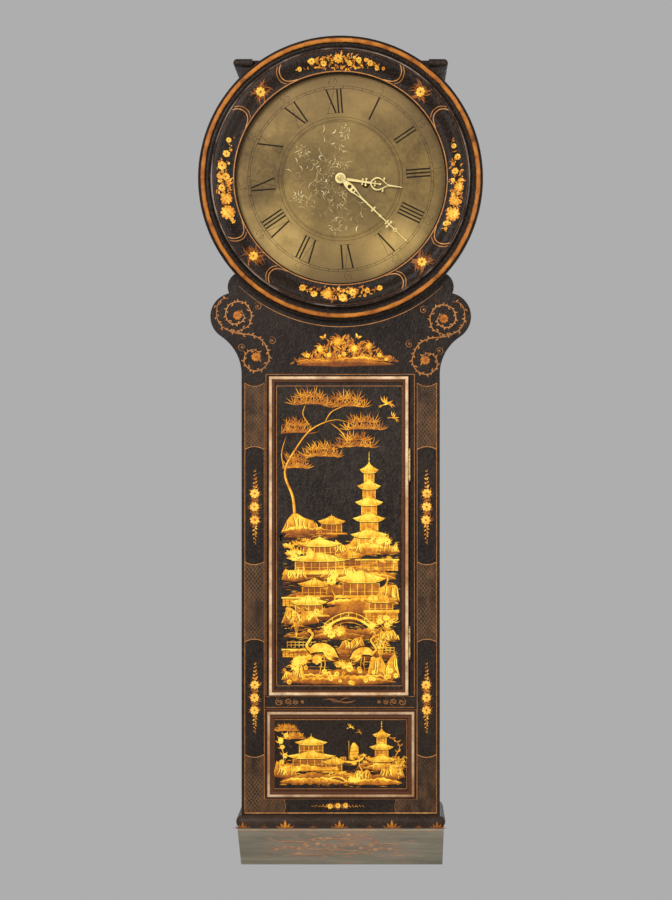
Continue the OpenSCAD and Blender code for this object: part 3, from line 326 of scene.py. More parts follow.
EVEN = (1, 1)


def stroke(path, half, ends=(0.15, 0.15), **look):
    """A brush stroke: a blade whose edges stand at half its width to each side of a path.

    The width is even but for the first and the last quarter, where it goes to its ends' share."""
    path = np.asarray(path, float)
    along = np.gradient(path, axis=0)
    along /= np.linalg.norm(along, axis=1, keepdims=True) + 1e-9
    side = np.stack([-along[:, 1], along[:, 0]], 1)
    taper = np.interp(np.linspace(0, 1, len(path)), (0, 0.25, 0.75, 1), (ends[0], 1, 1, ends[1]))
    reach = (np.broadcast_to(half, len(path)) * taper)[:, None]
    return blade(path + side * reach, path - side * reach, **look)


def through(points, steps=5):
    """A smooth curve through points: on each span the cubic whose slope at a point is half
    the chord between that point's neighbours."""
    p = np.asarray(points, float)
    p = np.vstack([2 * p[0] - p[1], p, 2 * p[-1] - p[-2]])
    t = np.linspace(0, 1, steps, endpoint=False)[:, None]
    spans = [b + (c - a) * t / 2 + (2 * a - 5 * b + 4 * c - d) * t**2 / 2
             + (3 * b - a - 3 * c + d) * t**3 / 2
             for a, b, c, d in zip(p[:-3], p[1:-2], p[2:-1], p[3:])]
    return np.vstack([*spans, p[-2:-1]])


def on_clock(radius, clock):
    """The place at that radius and clock angle in degrees: 0 is up and 90 is to the right."""
    turn = np.radians(clock)
    return np.stack([radius * np.sin(turn), radius * np.cos(turn)], -1)


def set_at(motif, at=(0, 0), turn=0.0, size=1.0, flip=False, tone=1.0, lift=0.0):
    """A motif mirrored if asked, scaled, turned clockwise by that many degrees and moved. Its
    lift raises all but its edges, so that it lies over what it crosses."""
    c, s = math.cos(math.radians(turn)), math.sin(math.radians(turn))
    spin = size * np.array([[c, s], [-s, c]]) @ np.diag([-1.0 if flip else 1.0, 1.0])
    moved = []
    for grid, tones in motif:
        grid = grid.copy()
        grid[..., :2] = grid[..., :2] @ spin.T + np.asarray(at, float)
        grid[1:-1, 1:4, 2] += lift
        moved.append((grid, tones * tone))
    return moved


def solid(name, body, points, faces, finish, slot, **marks):
    """Makes a mesh of points in mm and faces, turns the faces outwards, and fixes it to a body.
    Each mark is a number for every point, which its finish reads."""
    mesh = bpy.data.meshes.new(name)
    mesh.from_pydata((points.reshape(-1, 3) / 1000).tolist(), [], faces)
    for mark, numbers in marks.items():
        mesh.attributes.new(mark, "FLOAT", "POINT").data.foreach_set("value", numbers)
    shape = bmesh.new()
    shape.from_mesh(mesh)
    bmesh.ops.recalc_face_normals(shape, faces=shape.faces)
    shape.to_mesh(mesh)
    shape.free()
    mesh.materials.append(finish.material)
    piece = bpy.data.objects.new(name, mesh)
    scene.collection.objects.link(piece)
    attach(piece, body)
    return piece


def skin(rows):
    """Quads between neighbouring rows of numbered points, each row closed round on itself."""
    beside = np.roll(rows, -1, axis=1)
    return np.stack([rows[:-1], beside[:-1], beside[1:], rows[1:]], -1).reshape(-1, 4).tolist()


def lay(name, body, motif, face, finish, slot="gilt_brass_hands"):
    """Makes one mesh of all the blades of a motif, laid on a face.

    Each blade is a closed shell of its own: its rows are joined round their section, and each
    of its two end rows is one point, to which the row beside it is fanned."""
    points, faces, tones, first = [], [], [], 0
    for grid, tone in motif:
        rows = first + 1 + np.arange(grid[1:-1, :, 0].size).reshape(-1, grid.shape[1])
        faces += skin(rows)
        for row, end in ((rows[0], first), (rows[-1], rows[-1, -1] + 1)):
            faces += np.stack([row, np.roll(row, -1), 0 * row + end], -1).tolist()
        points += [grid[0, :1], grid[1:-1].reshape(-1, 3), grid[-1, :1]]
        tones += [tone[0, :1], tone[1:-1].ravel(), tone[-1, :1]]
        first = rows[-1, -1] + 2
    solid(name, body, face(*np.concatenate(points).T), faces, finish, slot,
          tone=np.concatenate(tones).astype(np.float32))


def gilding(name, *stops, rough=0.45, metallic=0.12, patchy=0.6):
    """Gold leaf and gold paint on raised size: dark where the tone is 0, bright where it is 1,
    mottled, and worn through to the brown size in small spots."""
    gilt = Finish(name, Roughness=rough, Metallic=metallic, Specular_IOR_Level=0.25)
    tone = gilt.put("Attribute", {}, attribute_name="tone").outputs["Fac"]
    mottled = gilt.times(tone, gilt.patches(240, 5, 0.3, 0.7, 0.72, 1.12))
    mottled = gilt.times(mottled, gilt.patches(48, 4, 0.36, 0.6, patchy, 1.08))
    worn = gilt.patches(420, 6, 0.64, 0.72, 0.0, 0.7)
    gilt.paint(gilt.mix(worn, gilt.ramp(mottled, *stops), stops[0][1:]))
    gilt.relief(gilt.cloudy(900, 3), 0.0001, 0.4)
    return gilt


bright_gilt = gilding("bright_gilt", (0.0, 52, 26, 12), (0.14, 122, 62, 18), (0.36, 190, 112, 24),
                      (0.6, 242, 168, 34), (0.97, 255, 224, 80))
flower_gilt = gilding("flower_gilt", (0.0, 82, 40, 14), (0.35, 158, 88, 24), (0.65, 222, 142, 34),
                      (0.95, 250, 200, 80), patchy=0.75)
line_gold = gilding("line_gold", (0.0, 84, 46, 22), (0.35, 146, 90, 42), (0.7, 200, 136, 70),
                    (1.0, 236, 182, 108), patchy=0.75)


def leaf(length, width, bend, **look):
    """A pointed leaf that grows up from the origin: its width follows a half sine to the 0.8,
    and its rib bows sideways by bend times its length."""
    t = np.linspace(0, 1, 7)
    rib = np.stack([bend * length * np.sin(np.pi * t), length * t], 1)
    return stroke(rib, width / 2 * np.sin(np.pi * (0.06 + 0.92 * t)) ** 0.8, (1, 0.5), **look)


def disc(radius, **look):
    """A round dot: a blade between the upper and the lower half of a circle."""
    t = np.linspace(0.12, np.pi - 0.12, 8)
    upper = radius * np.stack([-np.cos(t), np.sin(t)], 1)
    return blade(upper, upper * (1, -1), **look)


def flower(radius, petals, tone=1.0, heart=0.28, heart_tone=0.35, **look):
    """Round-tipped petals about a centre, dark between them, and a domed heart on top."""
    t = np.linspace(0, 1, 7)
    rib = np.stack([0 * t, radius * (0.16 + 0.84 * t)], 1)
    fat = radius * 3.0 / petals * np.sqrt(np.clip(1 - (2 * t - 1.2) ** 2 * 0.9, 0.03, 1))
    petal = stroke(rib, fat, EVEN, tone=tone, rim=radius * 0.13, **look)
    bloom = [piece for k in range(petals) for piece in set_at(petal, turn=360 * k / petals)]
    return bloom + disc(radius * heart, tone=heart_tone, rise=0.3, base=0.35)


def bow(centre, radius, start, end, steps):
    """Points of an arc in the section, by plain angles in degrees from the radius."""
    return centre + on_clock(radius, 90 - np.linspace(start, end, steps))


ring_section = np.vstack([
    [(191, 0), (191, 2.3), (HOLE_R, 2.3)], bow((187, 13), 3, 180, 90, 7),
    bow((191, 37), 21.2, 266, 300, 10), bow((217, 8), 17.8, 120, 72, 9), [(224, 27), (227, 27)],
    bow((235, 23), 8, 165, 285, 14), bow((241.5, 17), 4.4, 180, 0, 14),
    bow((RING_R, 17), 3.2, 200, 270, 6), [(RING_R, 0)]])
ring = black_lacquer("ring_lacquer", (32, 19, 11), dust=0.08)
from_centre = ring.from_dial_axis()


def ring_zone(radius, half, soft):
    """1 on a circle of the ring, 0 beyond its half width, with edges that wander a little."""
    away = ring.work("ABSOLUTE", ring.work("SUBTRACT", from_centre, radius))
    wander = ring.patches(70, 6, 0.3, 0.7, -soft, soft)
    return ring.spread(ring.work("ADD", away, wander), half, half + soft, 1, 0)


bead_gold = ring.ramp(ring.cloudy(44, 8), (0.3, 96, 54, 22), (0.44, 160, 92, 32), (0.66, 198, 124, 46))
with_bead = ring.mix(ring_zone(0.2415, 0.0032, 0.0008), ring.colour, bead_gold)
# A pale grey line on the fillet's edge: partly rubbed wear, partly a painted highlight where the edge
# catches the light.
rubbed_highlight = ring.times(ring_zone(0.2255, 0.0010, 0.0006), ring.patches(12, 4, 0.42, 0.62, 0.0, 0.7))
ring.paint(ring.mix(rubbed_highlight, with_bead, (150, 134, 122)))


def stand_on_ring(turn, radius, height):
    """A point of the ring in mm, by its turn in radians, its radius and its height."""
    return np.stack([radius * np.sin(turn), FRONT_Y - height + 0 * turn, radius * np.cos(turn)], -1)


points = stand_on_ring(np.linspace(0, 2 * np.pi, 300, endpoint=False)[:, None], *ring_section.T)
rows = np.arange(points[..., 0].size).reshape(points.shape[:2])
surround = solid("surround", "case", points, skin(np.vstack([rows, rows[:1]])), ring,
                 "japanned_black")
surround.data.shade_smooth()
surround.data.set_sharp_from_angle(angle=math.radians(40))
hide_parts("dial_surround")


def on_band(u, v, h):
    """Lays a motif on the ogee band: across runs clockwise along the circle of BAND_R, up is
    outwards, and the height stands on the ring's section at that radius."""
    top = ring_section[3:-4]
    rise = np.interp(BAND_R + v, *top[top[:, 0].argsort()].T)
    return stand_on_ring(u / BAND_R, BAND_R + v, rise + h)


def along_band(clock):
    """The place on the band at that clock angle."""
    return math.radians(clock) * BAND_R, 0


THIN = {"rise": 0.15, "rim": 0.3}
LIP_LINE_R, FILLET_LINE_R = 187.4, 222.4
ring_lines = []
for radius, half, tone in ((LIP_LINE_R, 1.0, 0.6), (FILLET_LINE_R, 0.45, 0.3)):
    u = np.linspace(0, 2 * np.pi * BAND_R, 181)
    ring_lines += stroke(np.stack([u, 0 * u + radius - BAND_R], 1), half, EVEN, tone=tone, **THIN)
# A pair of lines closes each long compartment with a rounded end.
near = through([(-4, 18), (1, 13), (5, 5), (5, -4), (0, -11), (-9, -15), (-20, -17)])
far = through([(2, 18), (7, 12), (10.5, 4), (10.5, -5), (7, -11), (3, -15)])
pair = stroke(near, 1.0, EVEN, tone=0.7, **THIN) + stroke(far, 0.95, EVEN, tone=0.5, **THIN)
for start, end in ((331, 29), (57, 122), (150, 215), (241, 303)):
    ring_lines += set_at(pair, along_band(start), flip=True) + set_at(pair, along_band(end))
lay("ring_lines", "case", ring_lines, on_band, line_gold)


def peony(radius):
    """A full flower in three rounds of petals, each round smaller and higher."""
    return (flower(radius, 10, 0.75, rise=0.5)
            + set_at(flower(radius * 0.72, 8, 0.95, rise=0.45, base=0.4), turn=20)
            + set_at(flower(radius * 0.42, 6, 1.05, rise=0.4, base=0.8, heart_tone=0.2), turn=7))


BED_LEAVES = 110


def bouquet(reach, middle, blossoms, seed):
    """A bed of small leaves that is thickest about its middle, with blossoms, little flowers
    and bright buds on it. The bed's height falls as the 1.6th power towards its ends."""
    chance = np.random.default_rng(seed)
    motif = []

    def spot(narrow=1.0):
        """A place in the bed, drawn about its middle."""
        u = np.clip(chance.normal(middle, reach * 0.42 * narrow), -reach, reach)
        room = 12 * (1 - abs(u / reach) ** 1.6 * 0.8)
        return u, chance.uniform(-room, room) - 1

    for _ in range(BED_LEAVES):
        size = chance.uniform(3.5, 8.5)
        motif += set_at(leaf(size, size * 0.4, chance.uniform(-0.25, 0.25), rim=0.25, rise=0.25,
                             tone=chance.uniform(0.3, 0.85)), spot(), chance.uniform(0, 360))
    for _ in range(BED_LEAVES // 7):
        motif += set_at(flower(chance.uniform(2.2, 3.9), 5, chance.uniform(0.65, 1.0), rise=0.4,
                               base=0.25, heart_tone=0.1), spot(1.1), chance.uniform(0, 70))
    for u, v, radius in blossoms:
        bloom = peony(radius) if radius > 8 else flower(
            radius, int(chance.integers(6, 9)), chance.uniform(0.9, 1.1), rise=0.5, base=0.4,
            heart_tone=0.12)
        motif += set_at(bloom, (u, v), chance.uniform(0, 90))
    for _ in range(BED_LEAVES // 6):
        motif += set_at(disc(chance.uniform(0.8, 1.6), tone=1.1, base=0.4), spot(1.2))
    return motif


ring_sprays = []
for clock, reach, middle, blossoms in (
        (0, 80, 0, ((-74, -2, 4), (-50, 4, 5.5), (-30, -3, 5), (-4, 3, 7.5), (16, -4, 4.5),
                    (32, 3, 5), (52, 2, 5), (66, -3, 4), (77, 0, 3))),
        (94, 78, 12, ((-70, 1, 4.5), (-50, 3, 5.5), (-26, -4, 6), (2, 3, 8.5), (26, -2, 9),
                      (50, 2, 12), (70, -4, 5))),
        (180, 76, 4, ((-70, 0, 5), (-48, -2, 5), (-22, -3, 6.5), (-4, 5, 7), (22, 0, 8.5),
                      (46, 4, 5.5), (68, -1, 6))),
        (269, 78, -14, ((-58, 1, 12.5), (-34, -2, 10), (-14, 3, 6), (6, -4, 6.5), (24, 3, 7.5),
                        (46, -1, 6), (70, 1, 4.5)))):
    ring_sprays += set_at(bouquet(reach, middle, blossoms, clock + 5), along_band(clock))
for clock in (43, 136, 228, 317):
    chance = np.random.default_rng(clock)
    single = set_at(flower(8, 8, 1.05, rise=0.5, base=0.4, heart_tone=0.15), turn=clock)
    for turn in chance.uniform(0, 360, 76):
        size = chance.uniform(9, 25) * (1 if abs(math.sin(math.radians(turn))) > 0.5 else 0.62)
        single += set_at(leaf(size, 2.4, chance.uniform(-0.3, 0.3), tone=chance.uniform(0.1, 0.42),
                              **THIN), turn=turn)
    ring_sprays += set_at(single, along_band(clock))
lay("ring_sprays", "case", ring_sprays, on_band, flower_gilt)


# Dial: one round sheet of brass, silvered long ago and now worn to the metal. The hours,
# the minutes, their circles and the leaf scrolls are cut with a graver and filled with wax.
DIAL_Y, DIAL_TURN = -167, -4.4
brass = Finish("dial_brass", Metallic=0.55)
tarnish, outwards = brass.cloudy(14, 10), brass.from_dial_axis()
up, aside = brass.axis("Z"), brass.work("ABSOLUTE", brass.axis("X"))
speckle = brass.ramp(brass.cloudy(150, 6), (0.36, 80, 60, 30), (0.6, 150, 122, 68))
# Painted sheen: lighter low on both sides of the dial, over the ring of the hours, where the lamps catch
# the brass.
sheen_low_side = brass.times(brass.spread(up, -0.03, -0.1, 0.0, 0.8),
                       brass.spread(aside, 0.02, 0.09, 0.3, 1.0))
sheen_ring = brass.times(brass.spread(outwards, 0.09, 0.125, 0.15, 1.0),
                          brass.patches(12, 6, 0.35, 0.6, 0.3, 1.0))
# Darker at the foot of the dial, about its middle.
darker_foot = brass.times(brass.spread(up, -0.09, -0.14, 0.0, 0.6),
                        brass.spread(aside, 0.03, 0.075, 1.0, 0.0))
# Painted shade: darker round the outer edge, where the surround shades the dial.
edge_shade = brass.times(brass.spread(outwards, 0.15, 0.19, 0.0, 0.75),
                        brass.patches(9, 5, 0.3, 0.65, 0.5, 1.0))
colour = brass.ramp(tarnish, (0.36, 74, 57, 26), (0.5, 97, 76, 37), (0.64, 128, 103, 53))
for share, shade in ((0.16, speckle), (brass.spread(outwards, 0.095, 0.108, 0.25, 0.0), (126, 104, 58)),
                     (brass.times(sheen_low_side, sheen_ring), (190, 158, 92)),
                     (darker_foot, (104, 82, 46)), (brass.spread(up, 0.05, 0.16, 0.0, 0.5), (148, 120, 74)),
                     (edge_shade, (92, 70, 40))):
    colour = brass.mix(share, colour, shade)
brass.paint(colour, Roughness=brass.spread(tarnish, 0.3, 0.7, 0.56, 0.4))
brass.relief(brass.cloudy(500, 4), 0.00004)
wear(brass, "dial_plate")


def stained(name, scale, detail, *stops, **sockets):
    """A finish in plain clouds of those colours."""
    finish = Finish(name, **sockets)
    finish.paint(finish.ramp(finish.cloudy(scale, detail), *stops))
    return finish


wax = stained("wax", 160, 4, (0.3, 22, 18, 12), (0.75, 52, 43, 27), Roughness=0.7,
              Specular_IOR_Level=0.1)
CUT = {"rise": 0.08, "tone": 1.0, "rim": 0.1}
THICK, HAIR, HOUR_HEIGHT, FIGURE_HEIGHT = 1.5, 0.34, 42, 11.5
LETTER_WIDTHS = {"I": 6.4, "V": 16.5, "X": 17.5}


def line(points, half=0.7, **look):
    """A ruled gold line of even width through straight points, one blade for each length."""
    look = {"rise": 0.12, "tone": 0.5, "rim": 0.25, **look}
    p = np.asarray(points, float)
    return [piece for a, b in zip(p[:-1], p[1:])
            for piece in stroke([a, (a + b) / 2, b], half, EVEN, **look)]


def flat_front(y):
    """Lays a motif on an upright face at that y in mm: across is x and up is z."""
    return lambda u, v, h: np.stack([u, y - h, v], -1)


def numeral(text):
    """A Roman numeral that stands on the origin: thick and hair strokes between two rules that
    join all its letters."""
    u = -sum(LETTER_WIDTHS[letter] for letter in text) / 2
    rules = [((u, 0), (-u, 0), HAIR), ((u, HOUR_HEIGHT), (-u, HOUR_HEIGHT), HAIR)]
    for letter in text:
        left, right = u + 1.6, u + LETTER_WIDTHS[letter] - 1.6
        middle = (left + right) / 2
        head, foot = (middle, middle) if letter == "I" else (
            left, middle if letter == "V" else right)
        rules.append(((head, HOUR_HEIGHT), (foot, 0), THICK))
        if letter != "I":
            rules.append(((right, HOUR_HEIGHT), (middle if letter == "V" else left, 0), HAIR))
        u += LETTER_WIDTHS[letter]
    return [piece for start, end, half in rules for piece in line([start, end], half, **CUT)]


# The points of each plain figure, as shares of its height.
DIGITS = {
    "0": [(0.3, 1), (0.02, 0.5), (0.3, 0), (0.58, 0.5), (0.3, 1)],
    "1": [(0.12, 0.8), (0.3, 1), (0.3, 0.5), (0.3, 0)],
    "2": [(0.05, 0.75), (0.3, 1), (0.55, 0.72), (0.3, 0.35), (0.02, 0.02), (0.58, 0.02)],
    "3": [(0.08, 0.9), (0.4, 0.98), (0.5, 0.72), (0.22, 0.55), (0.56, 0.3), (0.35, 0), (0.04, 0.12)],
    "4": [(0.42, 0), (0.42, 0.5), (0.42, 1), (0.02, 0.3), (0.6, 0.3)],
    "5": [(0.52, 1), (0.12, 1), (0.1, 0.58), (0.45, 0.6), (0.55, 0.28), (0.3, 0), (0.04, 0.1)],
    "6": [(0.5, 0.95), (0.15, 0.6), (0.05, 0.25), (0.3, 0), (0.55, 0.25), (0.3, 0.52), (0.08, 0.3)]}


def figures(number):
    """A minute numeral in plain cut figures, centred on the origin."""
    text = str(number)
    return [piece for k, digit in enumerate(text) for piece in stroke(
        (through(DIGITS[digit], 3) + (0.8 * (k - len(text) / 2), -0.5)) * FIGURE_HEIGHT, 0.32, EVEN,
        **CUT)]


def round_dial(clock, radius, motif):
    """Stands a motif at that radius of the dial, its foot towards the centre."""
    return set_at(motif, on_clock(radius, clock + DIAL_TURN), clock + DIAL_TURN)


HOUR_R, FIGURE_R, MINUTE_R = 116, 172, 159.5
cuts = []
for hour, text in enumerate("XII I II III IIII V VI VII VIII IX X XI".split()):
    cuts += round_dial(hour * 30, HOUR_R, numeral(text))
    cuts += round_dial(hour * 30, FIGURE_R, figures(hour * 5 or 60))
for minute in range(60):
    cuts += round_dial(minute * 6, MINUTE_R, line([(0, 0), (0, 4)], 0.4, **CUT))
for radius in (101.5, 104, 109, MINUTE_R, 163.6, 187):
    cuts += stroke(on_clock(radius, np.linspace(0, 360, 145)), 0.35, EVEN, **CUT)
lay("dial_numerals", "case", cuts, flat_front(DIAL_Y), wax, "dial_brass")


# Painted front: ruled gold lines, a scroll with barbed leaves on each ear, brown compartments
# with a diaper of fine crossed lines, and black ones with flower garlands between them.
on_front = flat_front(FRONT_Y)
STILE_LINES = (134.6, 168.8)
STILE_TOP, STILE_FOOT, RAIL_LINE = -359, -1116, -1091.5
diaper = black_lacquer("brown_diaper", (84, 60, 42), dust=0.2)
crossed = [diaper.put("TexWave", {
    "Vector": diaper.stretched(1, 1, 1, (0, math.radians(turn), 0)), "Scale": 62,
    "Distortion": 2.5, "Detail": 2, "Detail Scale": 2}, bands_direction="X").outputs["Fac"]
    for turn in (38, -38)]
network = diaper.times(diaper.spread(diaper.work("MAXIMUM", *crossed), 0.86, 1.0, 0.0, 0.42),
                       diaper.patches(22, 4, 0.4, 0.6, 0.1, 1.0))
smoke = diaper.ramp(diaper.cloudy(70, 9, diaper.stretched(1, 1, 0.5)), (0.38, 41, 27, 17),
                    (0.5, 63, 42, 27), (0.64, 88, 59, 36))
diaper.paint(diaper.mix(network, diaper.mix(0.75, diaper.colour, smoke), (150, 112, 70)))


def box_line(left, right, low, high, half, **look):
    """A ruled line round an upright field."""
    return line([(left, high), (right, high), (right, low), (left, low), (left, high)], half, **look)


def bowed(x0, x1, z, rise):
    """A level line from x0 to x1 that bows up in the middle by rise, as a shallow parabola."""
    t = np.linspace(-1, 1, 11)
    return np.stack([(x0 + x1) / 2 + (x1 - x0) / 2 * t, z + rise * (1 - t**2)], 1)


RULED = {"ends": EVEN, "rise": 0.12}
GROUND = {"rise": 0.03, "rim": 0.3}
UNDER_RING_R = 260.084
under_ring = on_clock(UNDER_RING_R, np.linspace(136.5, 223.5, 60))
front_lines = stroke(under_ring, 0.8, (0.5, 0.5), rise=0.12, tone=0.6, rim=0.3)
grounds = []
for side in (-1, 1):
    inner, outer = (side * x for x in STILE_LINES)
    front_lines += line([(outer, STILE_TOP), (outer, STILE_FOOT)], 0.75)
    front_lines += line([(inner, STILE_TOP), (inner, -1092)], 0.65, tone=0.45)
    for z, rise, half, tone in ((STILE_TOP, -6, 0.75, 0.6), (-476, 5, 0.9, 0.7), (-674, -5, 0.9, 0.7),
                                (-815, 5, 0.9, 0.7), (-1013, -5, 0.9, 0.7)):
        front_lines += stroke(bowed(inner, outer, z, rise), half, tone=tone, **RULED)
    for top, bottom in (((STILE_TOP, -6), (-476, 5)), ((-674, -5), (-815, 5)),
                        ((-1013, -5), (STILE_FOOT, 0))):
        grounds += blade(bowed(inner, outer, *top), bowed(inner, outer, *bottom), **GROUND)
    end = 98 if side > 0 else -100
    grounds += blade(bowed(inner, end, RAIL_LINE, 0), bowed(inner, end, STILE_FOOT, 0), **GROUND)
    front_lines += stroke(bowed(-1092, STILE_FOOT, end, -2.5 * side)[:, ::-1], 0.7, tone=0.5, **RULED)
front_lines += line([(-169, STILE_FOOT), (169, STILE_FOOT)], 0.9, tone=0.8)
front_lines += line([(-131.5, -909), (-131.5, -343.8), (129.7, -343.8), (129.7, -909)])
for z, tone in ((-911, 0.45), (-930, 0.5)):
    front_lines += line([(-131.5, z), (129.7, z)], 0.65, tone=tone)
front_lines += box_line(-133.5, 133.5, RAIL_LINE, -934, 0.5, tone=0.35)
lay("front_lines", "case", front_lines, on_front, line_gold)
lay("brown_compartments", "case", grounds, on_front, diaper, "japanned_black")


def path_length(path):
    """How far each point lies along its path."""
    return np.concatenate([[0], np.cumsum(np.linalg.norm(np.diff(path, axis=0), axis=1))])


def placed(make, rows, tone=1.0, lift=0.0, **look):
    """One motif for each row: its last two numbers are the place, and the rest go to its maker."""
    return [piece for *sizes, x, z in rows
            for piece in set_at(make(*sizes, **look), (x, z), tone=tone, lift=lift)]


def curl(radius, turns, half, inner=0.15, **look):
    """A scroll about the origin: it starts straight above at the radius and winds clockwise
    inwards, the radius falling evenly to the inner share of it."""
    t = np.linspace(0, 1, 40)
    path = on_clock(radius * (1 - (1 - inner) * t), 360 * turns * t)
    return stroke(path, half * (1 - 0.5 * t), (0.3, 0.5), **look)


def barbed(points, half, length, pitch, side=1, **look):
    """A scroll stem through points, with short pointed leaves along one side at that pitch."""
    path = through(points, 6)
    run = path_length(path)
    motif = stroke(path, half, (0.5, 0.5), rise=0.25, rim=0.3, **look)
    for k, s in enumerate(np.arange(pitch, run[-1] - pitch / 2, pitch)):
        at, ahead = (np.array([np.interp(s + d, run, path[:, axis]) for axis in (0, 1)])
                     for d in (0, 1))
        lean = side * (48 if k % 3 else -40)
        motif += set_at(leaf(length * (1 if k % 2 else 0.7), length * 0.4, 0.2 * side, rise=0.2,
                             rim=0.3, **look), at, math.degrees(math.atan2(*(ahead - at))) - lean)
    return motif


ear = barbed([(-197, -210), (-208, -211.5), (-216.4, -221), (-218, -243), (-207.6, -260.5),
              (-185, -271), (-168, -273), (-152.6, -275.8), (-140, -283), (-132, -293.4),
              (-126, -316), (-137, -333.7), (-154.8, -337.4), (-168.6, -326), (-168.6, -311),
              (-158, -301), (-146, -304), (-141, -313), (-146, -320)], 1.1, 7.5, 6.6, tone=0.52)
ear += barbed([(-196, -269), (-180, -267), (-162.4, -258.2), (-157.3, -240.6), (-162.4, -225.5),
               (-175, -216), (-195, -220.6), (-202.5, -238), (-195, -253), (-180, -254.5),
               (-170.3, -245.7), (-172.4, -235.7), (-180, -231)], 1.1, 7, 6.4, -1, tone=0.57)
for x, z, turn in ((-146, -224.3, -60), (-121, -284.6, -30), (-173.7, -295.7, 150)):
    ear += set_at(curl(7.5, 1.5, 0.8, tone=0.5, rise=0.2, rim=0.3), (x, z), turn)
    ear += set_at(disc(1.6, tone=0.7), (x, z))
hearts = placed(flower, ((7.8, 9, 0.5, 0.5, 0.36, -181.6, -240),
                         (7.8, 9, 0.5, 0.5, 0.36, -149.4, -313)), rise=0.4)
for name, motif, finish in (("ear_scrolls", ear, line_gold), ("ear_flowers", hearts, flower_gilt)):
    lay(name, "case", motif + set_at(motif, (0, -6), flip=True), on_front, finish)


def fan(turns, at, length, width, bend, tone, chance=None, **look):
    """Leaves that grow from one point, one at each turn. A length or a tone that is a pair is
    drawn between its two numbers for each leaf, the length first."""
    motif = []
    for turn in turns:
        sizes = [chance.uniform(*value) if isinstance(value, tuple) else value
                 for value in (length, tone)]
        motif += set_at(leaf(sizes[0], width, bend, tone=sizes[1], **look), at, turn)
    return motif


def garland(length, radius, seed):
    """A hanging garland: three flowers under one another with leaves between, and pairs of
    pointed buds that shrink towards both ends."""
    chance = np.random.default_rng(seed)
    reach = length / 2
    motif = stroke(through([(0, reach), (1.5, reach / 2), (-1.5, 0), (1.5, -reach / 2),
                            (0, -reach)]), 0.5, rise=0.2, tone=0.4, rim=0.2)
    for z in np.linspace(radius * 2.6, -radius * 2.6, 3):
        motif += fan(np.arange(0, 360, 30) + chance.uniform(-10, 10, 12), (0, z),
                     (radius * 1.1, radius * 1.6), radius * 0.3, 0.15, (0.25, 0.6), chance,
                     rise=0.25, rim=0.5)
        motif += set_at(flower(radius * 0.9, 8, 1.05, rise=0.5, base=0.3, heart=0.26,
                               heart_tone=0.3), (chance.uniform(-1, 1), z), chance.uniform(0, 50))
    for z in (radius * 1.3, -radius * 1.3):
        motif += fan((-80, -40, 40, 80, 140, 220), (0, z), radius * 0.9, radius * 0.3, 0.2, 0.5,
                     rise=0.25)
    for end in (-1, 1):
        for k, step in enumerate(np.linspace(radius * 3.8, reach, 5)):
            size = radius * (0.5 - 0.06 * k)
            for turn in (-50, 50):
                motif += fan([turn if end > 0 else 180 - turn],
                             (0, end * (step + math.copysign(1.2, turn))),
                             (size * 1.1, size * 1.7), size * 0.8, 0.12, (0.45, 0.9), chance,
                             rise=0.3, rim=0.4)
            motif += set_at(disc(size * 0.36, base=0.3), (size * 0.5 * (-1) ** k, end * step))
    return motif


garlands = placed(garland, ((125, 9, 3, -151, -577), (118, 8.6, 7, -151, -913),
                            (125, 9, 5, 151, -577), (118, 8.6, 9, 151, -913)))
garlands += set_at(garland(88, 5.2, 12), (-5, -1103.5), 90)
lay("front_garlands", "case", garlands, on_front, flower_gilt)
RAIL_MIDDLE = (-2, -920)
rail = set_at(disc(1.6, tone=0.4), RAIL_MIDDLE)
for side in (-1, 1):
    for x, radius, turn in ((108, 7.6, 0), (93, 6.6, 180), (79, 5.2, 0), (68, 3.2, 180)):
        at = (side * x, -920.5)
        rail += set_at(curl(radius, 1.4, 0.8, tone=0.6, **THIN), at, turn, flip=side < 0)
        rail += fan((-115, -65, 65, 115), at, radius, 1.6, 0.15, 0.4, rise=0.2, rim=0.3)
    for length, width, bend, tone, turn in ((30, 3.2, 0.1, 0.3, 84), (20, 2.6, -0.14, 0.25, 72)):
        rail += fan([side * turn], RAIL_MIDDLE, length, width, bend, tone, rise=0.25)
lay("rail_scrolls", "case", rail, on_front, line_gold)


# Sides: each side and its access door has a double gilt line, and the side a small garland.
# The photograph doesn't show them, so they follow the front's plainest work.
SIDE_X = 174.5


def on_side(to_wall):
    """Lays a motif on the right side, where u runs to the wall, or with -1 on the left one."""
    return lambda u, v, h: np.stack([to_wall * (SIDE_X + h), to_wall * u, v], -1)


def double_line(near, far, low, high):
    """A double line round a field."""
    inset = math.copysign(4, far - near)
    return box_line(near, far, low, high, 0.9, tone=0.6) + box_line(
        near + inset, far - inset, low + 4, high - 4, 0.4, tone=0.4)


for name, to_wall in (("right", 1), ("left", -1)):
    spray = set_at(garland(140, 8.5, 20 + to_wall), (-88 * to_wall, -640))
    for kind, body, motif, finish in (
            ("side_lines_", "case", double_line(-152 * to_wall, -24 * to_wall, -1098, -352), line_gold),
            ("side_garland_", "case", spray, flower_gilt),
            ("side_door_lines_", "side_door_" + name,
             double_line(-134 * to_wall, -56 * to_wall, -42, 122), line_gold)):
        lay(kind + name, body, motif, on_side(to_wall), finish)


